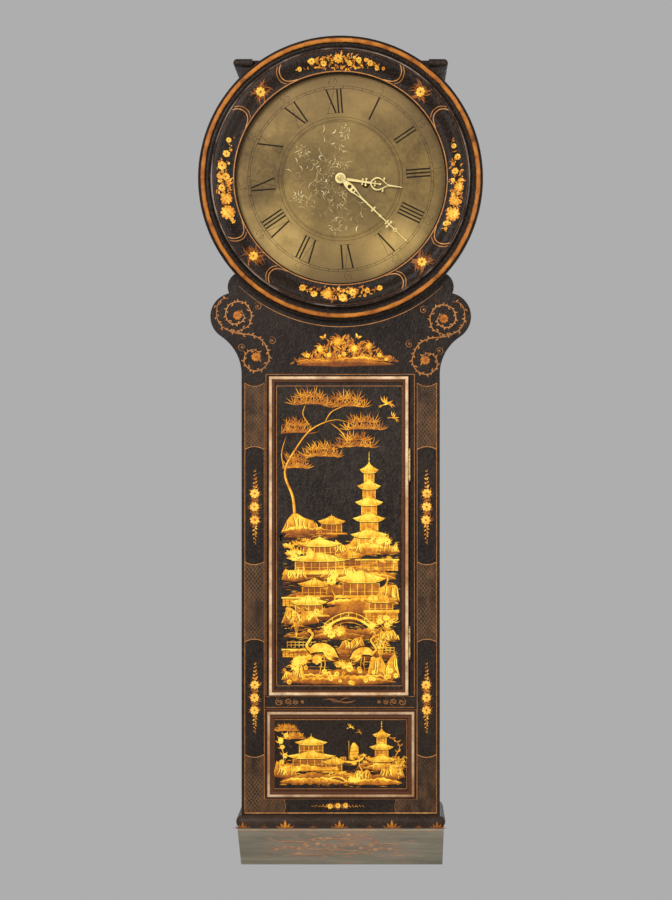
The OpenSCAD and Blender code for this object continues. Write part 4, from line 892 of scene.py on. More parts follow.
# Head vignette: a low mound with a tree peony in full flower, grasses and two butterflies. It is
# laid in raised size and gilt, a little darker than the door's landscape.
def mound(width, height, seed, tone, **look):
    """Ground: a brown body under a bright crest. Its top is an arch that wanders by three sines
    with phases from the seed, and it runs in lobes, one to every eleven millimetres."""
    chance = np.random.default_rng(seed)
    t = np.linspace(0, 1, int(width / 2.4))
    arch, x = np.sin(np.pi * t) ** 0.6, width * (t - 0.5)
    wave = sum(np.sin((5 + 9 * k) * t + chance.uniform(0, 6)) / (k + 1.5) for k in range(3))
    lobes = np.abs(np.sin(np.pi * (t * width / 11 + chance.uniform())))
    top = np.stack([x, arch * (height * (0.7 + 0.2 * wave) + 2.4 * lobes)], 1)
    low = np.stack([x, -0.28 * height * arch * (1 + 0.3 * wave)], 1)
    crest = top - np.stack([0 * x, 0.5 * height * arch * (1 + 0.3 * wave)], 1)
    motif = blade(top, low, rise=0.5, tone=(0.6 * tone, 0.5 * tone, 0.36 * tone), **look)
    return motif + blade(top, crest, rise=0.4, base=0.35, tone=(1.1 * tone, tone, 0.7 * tone), rim=1)


def tuft(height, seed, tone, spread=55, count=7):
    """Grass: narrow leaves that fan from one foot."""
    chance = np.random.default_rng(seed)
    return [piece for turn in np.linspace(-spread, spread, count) for piece in set_at(
        leaf(height * chance.uniform(0.6, 1), height * 0.12, turn / 400, tone=tone, rise=0.3,
             rim=0.3), turn=turn + chance.uniform(-6, 6))]


vignette = placed(mound, [(172, 12, 3, 0.5, 8, -327)])
vignette += placed(mound, ((88, 9, 5, 0.9, 30, -321), (64, 8, 8, 0.8, -46, -323)), lift=0.2)
chance = np.random.default_rng(31)
for x in np.clip(chance.normal(8, 42, 230), -84, 96):
    z = -324 + chance.uniform(0, 1) ** 0.8 * 46 * (1 - abs(x - 8) / 96)
    size = chance.uniform(5, 12)
    vignette += set_at(leaf(size, size * 0.34, chance.uniform(-0.3, 0.3), rise=0.25, rim=0.25,
                            tone=chance.uniform(0.2, 0.7)), (x, z),
                       (x - 8) * 0.7 + chance.uniform(-60, 60))
for x in np.linspace(-72, 88, 26):
    vignette += set_at(tuft(chance.uniform(8, 20) * (1 - abs(x - 8) / 160), int(x + 99),
                            chance.uniform(0.3, 0.8), 50, 5), (x, -321), chance.uniform(-25, 25))
for x, z, radius, bend in ((-36, -299, 6.5, 5), (-6, -286, 8.5, -6), (24, -298, 7, 4),
                           (50, -294, 6.5, -4), (-58, -311, 4.2, 2), (68, -310, 4.2, -2),
                           (-20, -310, 4, 3), (38, -311, 4, -3), (6, -308, 4, 2),
                           (-2, -312, 3, 0), (80, -317, 3, 1)):
    stem = through([(x * 0.6, -323), (0.8 * x + bend, (z - 323) / 2), (x, z)])
    vignette += stroke(stem, 0.8, tone=0.7, rise=0.35, base=0.2, rim=0.25)
    vignette += fan(np.array((-75, -35, 35, 75, 130, 220)) + x % 20, (x, z), radius * 1.9,
                    radius * 0.55, 0.25, (0.35, 0.75), chance, rise=0.3)
    vignette += set_at(peony(radius) if radius > 6 else flower(radius, 7, rise=0.4), (x, z),
                       lift=0.4)
for x, z, turn in ((-30, -279, -24), (30, -278, 30)):
    for size, lean, tone in ((7.5, 48, 0.95), (5, 118, 0.6)):
        for side in (-1, 1):
            vignette += fan([turn + side * lean], (x, z), size, size * 0.62, 0.1 * side, tone)
    vignette += fan([turn], (x, z - 2), 6.5, 1.3, 0, 0.5, base=0.4)
lay("head_peony", "case", set_at(vignette, tone=0.88), on_front, bright_gilt)


# Trunk door: one board with a lip all round, hung on two brass butts and locked at the left.
# A moulding is glued along its edge. Its field is crackled, and holds a raised gilt landscape.
wear(black_lacquer("door_lacquer", (42, 36, 33), crack_scale=300, dust=0.36), "door_board")


def moulding_finish(name, crest_y, gilt=1.0):
    """Red-brown lacquer that turns to worn gilt along the crest, past that y in metres; the pale gold
    there is also a painted highlight of the polished crest. What share of the gilding is left is given
    too."""
    coat = black_lacquer(name, (104, 66, 40), dust=0.1)
    crest = coat.spread(coat.axis("Y"), crest_y - 0.0004, crest_y + 0.0006, 1.0, 0.0)
    worn = coat.times(crest, coat.patches(55, 6, 0.3, 0.6, 0.45 * gilt, gilt))
    # The crest's pale gold is partly gilt and partly a painted highlight.
    gold = coat.ramp(coat.cloudy(9, 4), (0.4, 202, 148, 98), (0.6, 242, 206, 162))
    coat.paint(coat.mix(worn, coat.mix(0.6, coat.colour, (92, 52, 30)), gold))
    return coat


wear(moulding_finish("door_moulding_finish", -0.1724), "door_moulding")
on_door = flat_front(-168)
lay("door_lines", "trunk_door", box_line(-112.7, 108.3, -891.8, -364.4, 0.75, tone=0.45), on_door,
    line_gold)


def roof(width, height, tiles):
    """A swept roof on the origin: its eaves rise with the fourth power of the distance from
    the middle, its back falls in a hollow curve, and dark joints run down between its tiles."""
    t = np.linspace(-1, 1, 15)
    eaves = np.stack([width / 2 * t, height * 0.42 * t**4], 1)
    hip = np.stack([width / 2 * t * (0.5 + 0.5 * np.abs(t) ** 3),
                    height * (1.04 - 0.62 * np.abs(t) ** 2.4)], 1)
    hip[[0, -1]] = eaves[[0, -1]]
    motif = blade(eaves, hip, tone=(0.684, 0.95, 0.9975), rise=0.5, base=0.5, rim=1.5)
    for k in np.linspace(-0.66, 0.66, tiles // 2):
        foot, head = (np.array([np.interp(k, t, curve[:, 0]), np.interp(k, t, curve[:, 1])])
                      for curve in (eaves, hip))
        motif += stroke([foot * 0.97, (foot + head) / 2, head * 0.97], 0.34, EVEN, tone=0.1,
                        rise=0.15, base=1.0, rim=0.1)
    motif += stroke(eaves + (0, -0.7), 0.7, (0.4, 0.4), tone=0.0, rise=0.3, base=0.9, rim=0.2)
    for path, half, end in ((eaves + (0, 0.5), 0.8, 0.4), (hip[4:11], 0.9, 0.3)):
        motif += stroke(path, half, (end, end), tone=1.0, rise=0.4, base=1.0, rim=0.2)
    return motif


def face(width, height, **look):
    """An upright field on the origin."""
    x = width / 2
    return blade([(-x, 0), (0, 0), (x, 0)], [(-x, height), (0, height), (x, height)], **look)


def posts(places, height, half, tone, **look):
    """Upright bars that stand at those places."""
    return [piece for x in places for piece in line([(x, 0), (x, height)], half, tone=tone, **look)]


def bars(heights, width, half, tone, **look):
    """Level bars at those heights."""
    return [piece for z in heights
            for piece in line([(-width / 2, z), (width / 2, z)], half, tone=tone, **look)]


def storey(width, height, count, tone=0.3):
    """A wall with bright posts and a low rail, its foot on the origin."""
    width -= 1.6
    return (face(width, height, tone=tone, rise=0.3, base=0.15)
            + posts(np.linspace(-width / 2, width / 2, count), height, 0.8, 0.8, rise=0.4,
                    base=0.5, rim=0.2)
            + bars((height * 0.3, height * 0.95), width, 0.5, 0.8, rise=0.3, base=0.5, rim=0.2))


def pavilion(width, height, storeys, count):
    """A hall of one or two storeys on a stepped platform."""
    wall, lid, x, step = height * 0.42 / storeys, height * 0.4 / storeys, width * 0.56, height * 0.12
    motif = blade([(-x, -step), (0, -step), (x, -step)], [(-x * 0.94, 0), (0, 0), (x * 0.94, 0)],
                  tone=0.75, rise=0.4, base=0.2)
    foot = 0.0
    for share, tiles in ((1, 9), (0.66, 5))[:storeys]:
        motif += set_at(storey(width * 0.74 * share, wall, count), (0, foot))
        motif += set_at(roof(width * share, lid, tiles), (0, foot + wall))
        foot += wall + lid * 0.82
    top = foot + lid * 0.1
    motif += set_at(disc(width * 0.025 + 0.8, base=0.9), (0, top + 1.4))
    return motif + set_at(leaf(step, 1.6, 0, tone=0.9, base=0.8), (0, top + 2))


def pagoda(tiers, width, height):
    """A tower whose storeys shrink evenly, each under its own small swept roof."""
    motif, step = [], height / (tiers + 0.9)
    for k in range(tiers):
        share = 1 - 0.62 * k / tiers
        motif += set_at(storey(width * 0.56 * share, step * 0.62, 4, 0.5), (0, k * step))
        motif += set_at(roof(width * share, step * 0.55, 5), (0, (k + 0.56) * step))
    foot = tiers * step
    motif += line([(0, foot), (0, foot + step * 0.9)], 0.6, tone=0.9, rise=0.4, base=0.5)
    return motif + placed(disc, [(1.9 - 0.4 * k, 0, foot + step * (0.2 + 0.25 * k))
                                 for k in range(3)], base=0.7)


def crag(width, height, seed, tone):
    """A rock: a jagged mound, dark cracks down it and bright faces beside them."""
    chance = np.random.default_rng(seed)
    t = np.linspace(0, 1, 22)
    peaks = np.interp(t, np.linspace(0, 1, 8), [0.05, *chance.uniform(0.45, 1, 6), 0.05])
    top = np.stack([width * (t - 0.5), height * peaks], 1)
    low = np.stack([width * (t - 0.5), -height * 0.12 * np.sin(np.pi * t)], 1)
    motif = blade(top, low, tone=(0.8 * tone, 0.5 * tone, 0.2 * tone), rise=0.6, rim=1.6)
    for k in chance.uniform(0.12, 0.88, 7):
        x, peak = width * (k - 0.5), height * np.interp(k, t, peaks)
        path = through([(x, peak * 0.92), (x + chance.uniform(-4, 4), peak * 0.5),
                        (x + chance.uniform(-6, 6), peak * 0.12)], 3)
        motif += stroke(path + (1.9, 0), 1.6, tone=tone, rise=0.3, base=0.55, rim=0.6)
        motif += stroke(path, 0.5, tone=0.0, rise=0.2, base=0.6, rim=0.1)
    return motif


def pine_pad(width, height, seed, tone=0.5):
    """A cloud of needles: fans of narrow leaves stood in a row on a shallow arch."""
    chance = np.random.default_rng(seed)
    motif = []
    for row, share in ((0, 1.0), (1, 0.6)):
        for k in np.linspace(-0.5, 0.5, 6 - 2 * row):
            foot = (width * share * k, height * (0.42 * row + 0.25 * (0.25 - k * k)))
            motif += fan(np.arange(-75, 76, 25) + chance.uniform(-8, 8, 7), foot,
                         (height * 0.5, height * 0.78), 2.0, 0.04, (tone * 0.75, tone * 1.35),
                         chance, rise=0.25, base=0.1 * row, rim=0.3)
    return motif


def bird(size):
    """A bird on the wing: a pointed body, two wings of three feathers and a forked tail."""
    motif = set_at(leaf(size, size * 0.22, 0.05, tone=0.9, rise=0.4, base=0.3), turn=80)
    for turn, length in ((-28, 0.95), (-8, 0.8), (12, 0.62), (128, 0.7), (146, 0.55)):
        motif += fan([turn], (size * 0.45, 0), size * length, size * 0.17, -0.15, 0.765, rise=0.3)
    return motif + fan((252, 268), (size * 0.05, 0), size * 0.5, size * 0.1, 0, 0.72)


def dash(x, z, reach, half, hump=0.8, **look):
    """A short level brush stroke that rises a little in its middle."""
    return stroke([(x - reach, z), (x, z + hump), (x + reach, z)], half, **look)


def ripples(width, count, seed):
    """Water: short level strokes that thin out downwards."""
    chance = np.random.default_rng(seed)
    return [piece for k in range(count) for piece in dash(
        chance.uniform(-width / 2, width / 2), -31.2 * k / count, chance.uniform(6, 15), 0.45,
        tone=0.4, rise=0.15, rim=0.2)]


def shrub(points, size, seed, blooms=True):
    """A branch through points that carries flowers and leaves in turn."""
    chance = np.random.default_rng(seed)
    path = through(points, 4)
    motif = stroke(path, np.linspace(size * 0.3, size * 0.12, len(path)), (1, 0.4), tone=0.65,
                   rise=0.4, rim=0.3)
    for at in path[2::2]:
        for side in (-1, 1):
            motif += set_at(leaf(size * chance.uniform(1.3, 2.1), size * 0.7, 0.15 * side, rise=0.3,
                                 tone=chance.uniform(0.45, 0.8)), at, side * chance.uniform(35, 80))
        if blooms:
            motif += set_at(flower(size * chance.uniform(0.75, 1.1), 5, rise=0.45, base=0.4),
                            at + chance.uniform(-size, size, 2) * 0.6, chance.uniform(0, 70))
    return motif


def crane(height, tone=1.0):
    """A crane that stands with its neck in a curve, on two thin legs. The dark strokes under its
    neck and body are their outline."""
    def part(points, half, ends, steps=5, **look):
        """One stroke of the crane, sized by its height."""
        path = np.array(points) if steps == 1 else through(points, steps)
        return stroke(path * height, half * height, ends, **look)

    body = [(-0.2, 0.48), (-0.05, 0.56), (0.12, 0.56), (0.26, 0.47), (0.4, 0.36)]
    neck = [(-0.17, 0.5), (-0.26, 0.6), (-0.2, 0.72), (-0.13, 0.84), (-0.2, 0.92)]
    motif = part(neck, 0.05, (1.3, 1.3), tone=0.0, rise=0.3, base=0.2)
    motif += part(body, 0.13, (0.7, 0.3), tone=0.0, rise=0.3, base=0.2)
    motif += part(body, 0.105, (0.5, 0.15), tone=tone, rise=0.6, base=0.4, rim=1.0)
    motif += part(neck, 0.03, (1.3, 0.9), tone=tone, rise=0.5, base=0.5, rim=0.3)
    motif += set_at(disc(0.045 * height, tone=tone, base=0.6), (-0.2 * height, 0.92 * height))
    beak = [(-0.23, 0.92), (-0.32, 0.9), (-0.4, 0.87)]
    motif += part(beak, 0.012, (0.15, 0.15), 1, tone=0.6, rise=0.3, base=0.5, rim=0.2)
    for x in (0.02, 0.1):
        motif += part([(x, 0.42), (x + 0.03, 0.22), (x - 0.01, 0)], 0.012, EVEN, 1, tone=0.7,
                      rise=0.3, base=0.2, rim=0.2)
    for k in range(5):
        motif += fan([98 + 7 * k], ((0.02 + 0.02 * k) * height, (0.58 - 0.03 * k) * height),
                     0.3 * height, 0.07 * height, 0.1, tone * (0.8 if k % 2 else 1.0), rise=0.3,
                     base=0.9, rim=0.4)
    return motif


def footbridge(span, rise):
    """An arched bridge: a thick bow with posts and a handrail above it."""
    t = np.linspace(-1, 1, 13)
    deck = np.stack([span / 2 * t, rise * (1 - t**2)], 1)
    motif = stroke(deck, 2.6, EVEN, tone=0.9, rise=0.5, base=0.3)
    motif += stroke(deck + (0, 9), 0.9, EVEN, tone=0.9, rise=0.4, base=0.3, rim=0.3)
    for foot in deck[::2]:
        motif += set_at(posts([0], 10, 0.8, 0.8, rise=0.4, base=0.3), foot)
    return motif + stroke(deck * (0.86, 0.8) - (0, 4), 0.8, tone=0.5, rise=0.3, rim=0.3)


def wash(width, height, seed):
    """Far ground: a thin brown cloud of gold that ends in short level strokes."""
    chance = np.random.default_rng(seed)
    motif = mound(width, height, seed, tone=0.4, rim=3)
    for _ in range(int(width * 0.75)):
        motif += dash(width * chance.uniform(-0.5, 0.5), height * chance.uniform(-0.5, 0.9),
                      chance.uniform(2, 8), chance.uniform(0.4, 0.9), 0.7,
                      tone=chance.uniform(0.0, 1.0), rise=0.2, base=0.45, rim=0.3)
    return motif


def bamboo(height, seed):
    """Three canes with knots, and narrow leaves that hang in threes from their tops."""
    chance = np.random.default_rng(seed)
    motif = []
    for lean in (-0.16, 0.02, 0.2):
        cane = through([(0, 0), (lean * height * 0.5, height * 0.5), (lean * height * 1.3, height)], 6)
        motif += stroke(cane, 0.9, (1, 0.4), tone=0.7, rise=0.4, base=0.2, rim=0.3)
        for at in cane[2:-1:2]:
            motif += set_at(disc(1.3, tone=0.2, base=0.5), at)
        for at in cane[5:]:
            for turn in chance.uniform(100, 175, 3):
                motif += set_at(leaf(height * chance.uniform(0.14, 0.24), 2.6, 0.1, rise=0.3, base=0.3,
                                     tone=chance.uniform(0.5, 1.0)), at, turn * chance.choice((-1, 1)))
    return motif


def broad_tree(height, seed):
    """A crooked trunk under heaps of small leaves, brown below and bright on top."""
    chance = np.random.default_rng(seed)
    trunk = through(height * np.array([(0, 0), (0.1, 0.3), (-0.04, 0.6), (0.03, 0.85)]))
    motif = stroke(trunk, np.linspace(2.2, 0.8, len(trunk)), (1, 0.5), tone=0.7, rise=0.5)
    for x, z in ((-0.3, 0.62), (0.26, 0.68), (-0.12, 0.9), (0.14, 1.0), (-0.36, 0.84), (0.38, 0.88)):
        for turn in np.arange(-100, 101, 14):
            size = height * chance.uniform(0.1, 0.18)
            motif += set_at(leaf(size, size * 0.4, 0.1, rise=0.35, base=0.2, rim=0.5,
                                 tone=chance.uniform(0.35, 0.7) + 0.3 * math.cos(math.radians(turn))),
                            (height * x + chance.uniform(-2, 2), height * z), turn)
    return motif


def fence(width, height=9):
    """A low fence: two rails and a post every seven millimetres."""
    return (bars((height * 0.45, height), width, 0.7, 0.85, rise=0.3, base=0.3)
            + posts(np.arange(-width / 2, width / 2 + 1, 7), height * 1.2, 0.7, 0.75, rise=0.3,
                    base=0.3))


def terrace(width, height):
    """A garden wall: a bright coping with a dark line under it, and an ochre face in courses."""
    joints = {"rise": 0.2, "base": 0.5, "rim": 0.1}
    return (face(width, height, rise=0.4, tone=(0.75, 0.55, 0.6), rim=1.2)
            + posts(np.arange(5 - width / 2, width / 2, 7), height, 0.4, 0.15, **joints)
            + bars(np.arange(4, height - 4, 5), width, 0.4, 0.2, **joints)
            + bars([height - 2], width + 2, 0.6, 0.0, base=0.5, rim=0.1)
            + bars([height], width + 4, 1.5, 1.05, rise=0.4, base=0.5))


def orchard(size, seed):
    """A bank of flowers: open blossoms of three sizes over leaves that fan out behind them."""
    chance = np.random.default_rng(seed)
    motif = []
    for _ in range(9):
        at = size * chance.uniform((-1.3, 0.2), (1.3, 1.1))
        motif += fan(np.arange(-90, 91, 30) + chance.uniform(-12, 12, 7), at,
                     (size * 0.5, size * 0.9), size * 0.16, 0.15, (0.4, 0.95), chance, rise=0.3)
        motif += set_at(flower(size * chance.choice((0.22, 0.3, 0.42)), int(chance.integers(6, 11)),
                               1.05, rise=0.5, base=0.5), at, lift=0.3)
    return motif


FIELD_HALF = 106


def lay_on_door(name, landscape):
    """Lays what ends within the gilt line that frames the door's field."""
    inside = [piece for piece in landscape if np.abs(piece[0][..., 0]).max() < FIELD_HALF]
    lay(name, "trunk_door", inside, on_door, bright_gilt)


ground = placed(wash, (
    (96, 20, 1, -52, -630), (110, 24, 2, 48, -656), (196, 26, 3, 0, -700), (204, 28, 4, 2, -738),
    (200, 26, 5, 2, -772), (198, 22, 6, -2, -806), (200, 22, 7, 2, -842), (206, 20, 8, 0, -876)))
ground += placed(mound, (
    (94, 16, 11, 0.95, -58, -622), (104, 18, 10, 1.0, 52, -656), (70, 13, 16, 0.6, -40, -648),
    (120, 18, 9, 1.0, -46, -706), (80, 13, 17, 0.65, 58, -704), (128, 18, 7, 1.0, 38, -748),
    (84, 13, 18, 0.6, -66, -736), (118, 17, 6, 1.0, -48, -782), (92, 14, 12, 1.0, 62, -796),
    (90, 12, 19, 0.65, -4, -806), (104, 14, 13, 0.6, -50, -836), (86, 14, 14, 0.95, 72, -842),
    (200, 15, 15, 0.6, -2, -886), (90, 10, 20, 0.9, -40, -878), (70, 9, 21, 0.85, 56, -880)),
    1.1, 0.25, rim=1.5)
ground += placed(terrace, ((74, 20, 64, -690), (58, 16, 72, -776), (64, 15, -70, -752),
                           (50, 14, -77, -842)), lift=0.3)
ground += placed(crag, (
    (58, 46, 21, 1.05, 75, -878), (42, 28, 22, 0.95, -83, -882), (66, 34, 23, 1.05, -71, -782),
    (44, 40, 24, 1.05, 82, -744), (64, 38, 25, 1.05, -4, -702), (46, 30, 26, 0.95, -81, -706),
    (58, 34, 27, 1.05, 12, -662), (42, 28, 28, 0.95, 83, -658), (66, 46, 29, 1.05, -71, -622),
    (48, 26, 30, 0.95, 20, -828), (40, 24, 31, 0.9, 84, -812)), 1.1, 0.35)
lay_on_door("door_ground", ground)

gardens = []
for motif, x, z, tone in (
        (pagoda(5, 66, 168), 50, -648, 1.0), (pavilion(50, 34, 1, 5), -16, -622, 0.7),
        (pavilion(118, 70, 2, 7), -37, -688, 1.05), (pavilion(56, 32, 1, 5), 16, -680, 0.7),
        (pavilion(88, 50, 1, 6), 36, -732, 1.05), (pavilion(60, 34, 1, 5), -46, -732, 0.75),
        (pavilion(66, 38, 1, 5), -56, -766, 1.05), (pavilion(58, 34, 1, 5), 71, -760, 0.95),
        (footbridge(84, 20), 14, -792, 1.05), (broad_tree(62, 33), -70, -700, 1.0),
        (broad_tree(48, 34), 78, -718, 1.0), (broad_tree(42, 35), -14, -748, 0.95),
        (bamboo(66, 36), 70, -850, 1.0), (bamboo(54, 37), -78, -806, 1.0),
        (fence(60), -64, -824, 1.0), (fence(50), 70, -834, 1.0), (fence(44, 7), 78, -656, 1.0),
        (orchard(16, 61), -68, -672, 1.0), (orchard(20, 62), 10, -712, 1.0),
        (orchard(18, 63), 66, -790, 1.0), (orchard(20, 66), -64, -862, 0.85),
        (orchard(15, 67), 70, -642, 0.95), (orchard(17, 68), -18, -806, 0.9),
        (orchard(14, 69), 2, -868, 0.85), (orchard(14, 70), -48, -776, 0.85),
        (ripples(150, 22, 92), 6, -796, 2.0), (ripples(120, 14, 93), 10, -846, 1.8)):
    gardens += set_at(motif, (x, z), tone=1.12 * tone, lift=0.5)
lay_on_door("door_gardens", gardens)

trunk = through([(-80, -602), (-84, -560), (-98, -516), (-78, -474), (-50, -440), (-8, -424),
                 (30, -436)])
near_ground = stroke(trunk, np.linspace(3.2, 0.8, len(trunk)), (1, 0.4), tone=(0.9, 0.7, 0.3), rise=0.6)
for points in ([(-96, -520), (-104, -486), (-96, -452)], [(-80, -476), (-62, -486), (-38, -484)],
               [(-30, -432), (-16, -410), (10, -398)], [(-50, -440), (-66, -416), (-62, -396)],
               [(-20, -428), (0, -444), (16, -468)]):
    near_ground += stroke(through(points), 1.0, tone=0.7, rise=0.4, rim=0.3)
near_ground += placed(pine_pad, (
    (46, 29, 41, 0.46, -82, -448), (56, 29, 42, 0.46, -34, -490), (60, 29, 43, 0.46, 10, -402),
    (58, 29, 44, 0.46, 40, -442), (56, 29, 45, 0.46, -54, -398), (40, 29, 46, 0.46, -82, -510),
    (54, 29, 47, 0.46, 26, -473)))
near_ground += set_at(bird(20), (74, -398), -14) + set_at(bird(15), (88, -420), 8)
near_ground += set_at(crane(84), (-38, -872), lift=0.9)
near_ground += set_at(crane(70, 0.95), (44, -870), flip=True, lift=0.9)
chance = np.random.default_rng(77)
for x in np.linspace(-98, 96, 30):
    z = chance.uniform(-888, -866)
    near_ground += set_at(tuft(chance.uniform(8, 16), int(x + 300), 0.4), (x, z), lift=0.5)
    near_ground += set_at(flower(chance.uniform(2.4, 5.2), int(chance.integers(5, 9)),
                                 chance.uniform(0.55, 1.1), rise=0.5, base=0.5),
                          (x + chance.uniform(-5, 5), z + chance.uniform(0, 9)), lift=0.5)
lay_on_door("door_landscape", near_ground)


# Lower panel: a fixed board behind its own mitred moulding, whose crest has lost much of its
# gilding. Its raised gilt shows a lake: two halls and a tower on the shore, rocks and a boat.
wear(moulding_finish("panel_moulding_finish", -0.17, 0.6), "panel_moulding")
lay("panel_lines", "case", box_line(-117.4, 116.4, -1073.5, -951.5, 0.75), on_front, line_gold)


def junk(size):
    """A boat with a curved hull, a small cabin and one battened sail."""
    t = np.linspace(-1, 1, 11)
    hull = blade(size * np.stack([0.5 * t, 0.16 * t**2], 1),
                 size * np.stack([0.42 * t, 0.1 * t**2 - 0.09], 1), tone=0.85, rise=0.5, base=0.3)
    luff, leech = (size * np.array(edge) for edge in (
        [(-0.02, 0.1), (0.0, 0.3), (0.03, 0.5), (0.1, 0.62)],
        [(0.26, 0.12), (0.31, 0.28), (0.3, 0.46), (0.2, 0.6)]))
    sail = blade(luff, leech, tone=0.95, rise=0.5, base=0.4) + set_at(
        bars(size * np.array((0.2, 0.32, 0.44)), 0.29 * size, 0.35, 0.1, rise=0.2, base=0.95),
        (0.145 * size, 0))
    mast = set_at(posts([-0.03 * size], 0.62 * size, 0.6, 0.7, base=0.2, rise=0.4), (0, 0.06 * size))
    return hull + sail + mast + set_at(storey(size * 0.2, size * 0.1, 3), (-size * 0.22, size * 0.03))


lake = placed(wash, ((206, 22, 58, -2, -1060), (100, 18, 59, -60, -1038), (84, 16, 60, 70, -1036)))
lake += placed(mound, (
    (110, 13, 61, 1.0, -52, -1062), (112, 12, 62, 0.95, 52, -1064), (84, 11, 63, 1.0, -70, -1040),
    (72, 11, 64, 0.95, 74, -1038), (50, 8, 65, 0.7, 4, -1052)), lift=0.25, rim=1.3)
lake += placed(crag, ((42, 30, 66, 1.05, -98, -1052), (46, 30, 67, 1.05, 90, -1054),
                      (36, 20, 68, 1.05, 38, -1058)), lift=0.3)
for make, *rows in ((pavilion, (88, 64, 2, 6, -52, -1034), (40, 28, 1, 4, -12, -1042)),
                    (pagoda, (3, 54, 84, 72, -1038)), (fence, (44, 6, -44, -1062)),
                    (broad_tree, (38, 75, 34, -1054)), (bamboo, (40, 76, 102, -1056)),
                    (orchard, (13, 77, -86, -1046), (11, 78, 20, -1064))):
    lake += placed(make, rows, lift=0.5)
lake += set_at(junk(52), (16, -1024)) + set_at(footbridge(40, 9), (-8, -1060), size=0.9)
lake += set_at(ripples(150, 14, 69), (12, -1026))
lake += shrub([(104, -1044), (96, -1020), (104, -998), (90, -984)], 4.6, 70, False)
lake += shrub([(-106, -1040), (-100, -1014), (-108, -992), (-98, -978)], 4.6, 71)
lake += placed(pine_pad, ((32, 13, 72, -96, -972), (26, 13, 73, -80, -986)))
lake += set_at(bird(10), (14, -966), -10) + set_at(bird(8), (30, -974), 6)
lake += placed(tuft, [(9, int(x + 400), 0.5, x, -1066) for x in np.linspace(-100, 100, 14)])
lay("panel_lake", "case", lake, on_front, bright_gilt)


# Base: a half-round moulding runs round the foot of the trunk, with gilt palmettes along its
# lower edge. Below it a board leans in to the wall, coloured a pale olive grey.
TORUS_R, TORUS_Y, TORUS_Z = 12.2, -162.5, -1131.2
CANT_TOP_Z, CANT_IN, CANT_DOWN = -1146.5, 0.7866, 0.6176
wear(black_lacquer("torus_lacquer", (66, 50, 40), rough=0.3, dust=0.15), "base_torus")


def on_torus(u, v, h):
    """Lays a motif on the half-round: up follows its surface from the level of its middle."""
    turn, reach = v / TORUS_R, TORUS_R + h
    return np.stack([u, TORUS_Y - reach * np.cos(turn), TORUS_Z + reach * np.sin(turn)], -1)


def on_cant(u, v, h):
    """Lays a motif on the leaning board: v is 0 at its upper edge and falls down its slope."""
    return np.stack([u, FRONT_Y - v * CANT_IN - h * CANT_DOWN,
                     CANT_TOP_Z + v * CANT_DOWN - h * CANT_IN], -1)


def palmette(width, height, tone):
    """Seven leaves that fan out of one foot, the middle one the tallest, over a short bar."""
    motif = set_at(disc(height * 0.13, tone=tone, base=0.4), (0, 1.5))
    for turn, share in ((0, 1.0), (-32, 0.8), (32, 0.8), (-62, 0.95), (62, 0.95), (-84, 1.1), (84, 1.1)):
        motif += fan([turn], (0, 0), (height if abs(turn) < 50 else width / 2) * share, height * 0.3,
                     turn / 500, tone * (1.3 - abs(turn) / 140), rise=0.35, rim=0.6)
    return motif


palmettes = placed(palmette, [(38 * size, 19 * size, tone, x, -14) for x, size, tone in (
    (-172, 0.8, 0.62), (-97.3, 1.0, 0.72), (-2, 0.95, 0.66), (90, 1.0, 0.66), (169.3, 0.85, 0.6))], 0.7)
palmettes += placed(palmette, [(18, 9, 0.34, x, -13) for x in (-134.5, -48.4, 50.8, 137)], 0.8)
lay("torus_palmettes", "case", palmettes, on_torus, flower_gilt)
lay("base_line", "case", line([(-176, -0.9), (176, -0.9)], 0.8, tone=0.9), on_cant, line_gold)

cant = Finish("cant_ground", Specular_IOR_Level=0.3)
brushed = cant.cloudy(7, 7, cant.stretched(1, 5, 9))
olive = cant.ramp(brushed, (0.3, 118, 112, 95), (0.5, 141, 133, 113), (0.68, 160, 149, 127))
near_middle = cant.spread(cant.work("ABSOLUTE", cant.axis("X")), 0.07, 0.14, 1.0, 0.1)
rosy = cant.times(cant.patches(13, 6, 0.45, 0.6, 0.0, 0.55, place=cant.stretched(1, 1, 1.6)), near_middle)
cant.paint(cant.mix(rosy, olive, (176, 138, 115)), Roughness=cant.spread(brushed, 0.3, 0.7, 0.5, 0.66))
cant.relief(brushed, 0.0003)
wear(cant, "base_cant_board")
faint_gilt = gilding("faint_gilt", (0.0, 140, 112, 88), (0.4, 178, 130, 98), (0.9, 212, 170, 124),
                     rough=0.6, metallic=0)
faint = []
for points, size, seed in (
        ([(-128, -78), (-100, -62), (-74, -66), (-44, -50), (-12, -58)], 4.5, 81),
        ([(104, -76), (72, -66), (48, -72), (18, -54), (-12, -58)], 4.5, 82),
        ([(-74, -66), (-52, -34), (-20, -26), (14, -18)], 4, 83),
        ([(40, -70), (62, -40), (38, -22)], 4, 84)):
    faint += set_at(shrub(points, size, seed), tone=0.8)
faint += placed(mound, [(60, 5, x + 500, 0.6, x, z) for x, z in (
    (-30, -72), (6, -76), (30, -88), (-58, -92), (-84, -44), (74, -52), (-10, -34))])
chance = np.random.default_rng(86)
for x, z in zip(chance.normal(-6, 78, 210), chance.uniform(-98, -10, 210)):
    reach = chance.uniform(3, 12)
    if abs(x) < 150:
        faint += dash(x, z, reach, chance.uniform(0.8, 1.7), tone=chance.uniform(0.2, 0.9), rise=0.2,
                      rim=0.3)
lay("cant_sprays", "case", faint, on_cant, faint_gilt, "japanned_base")
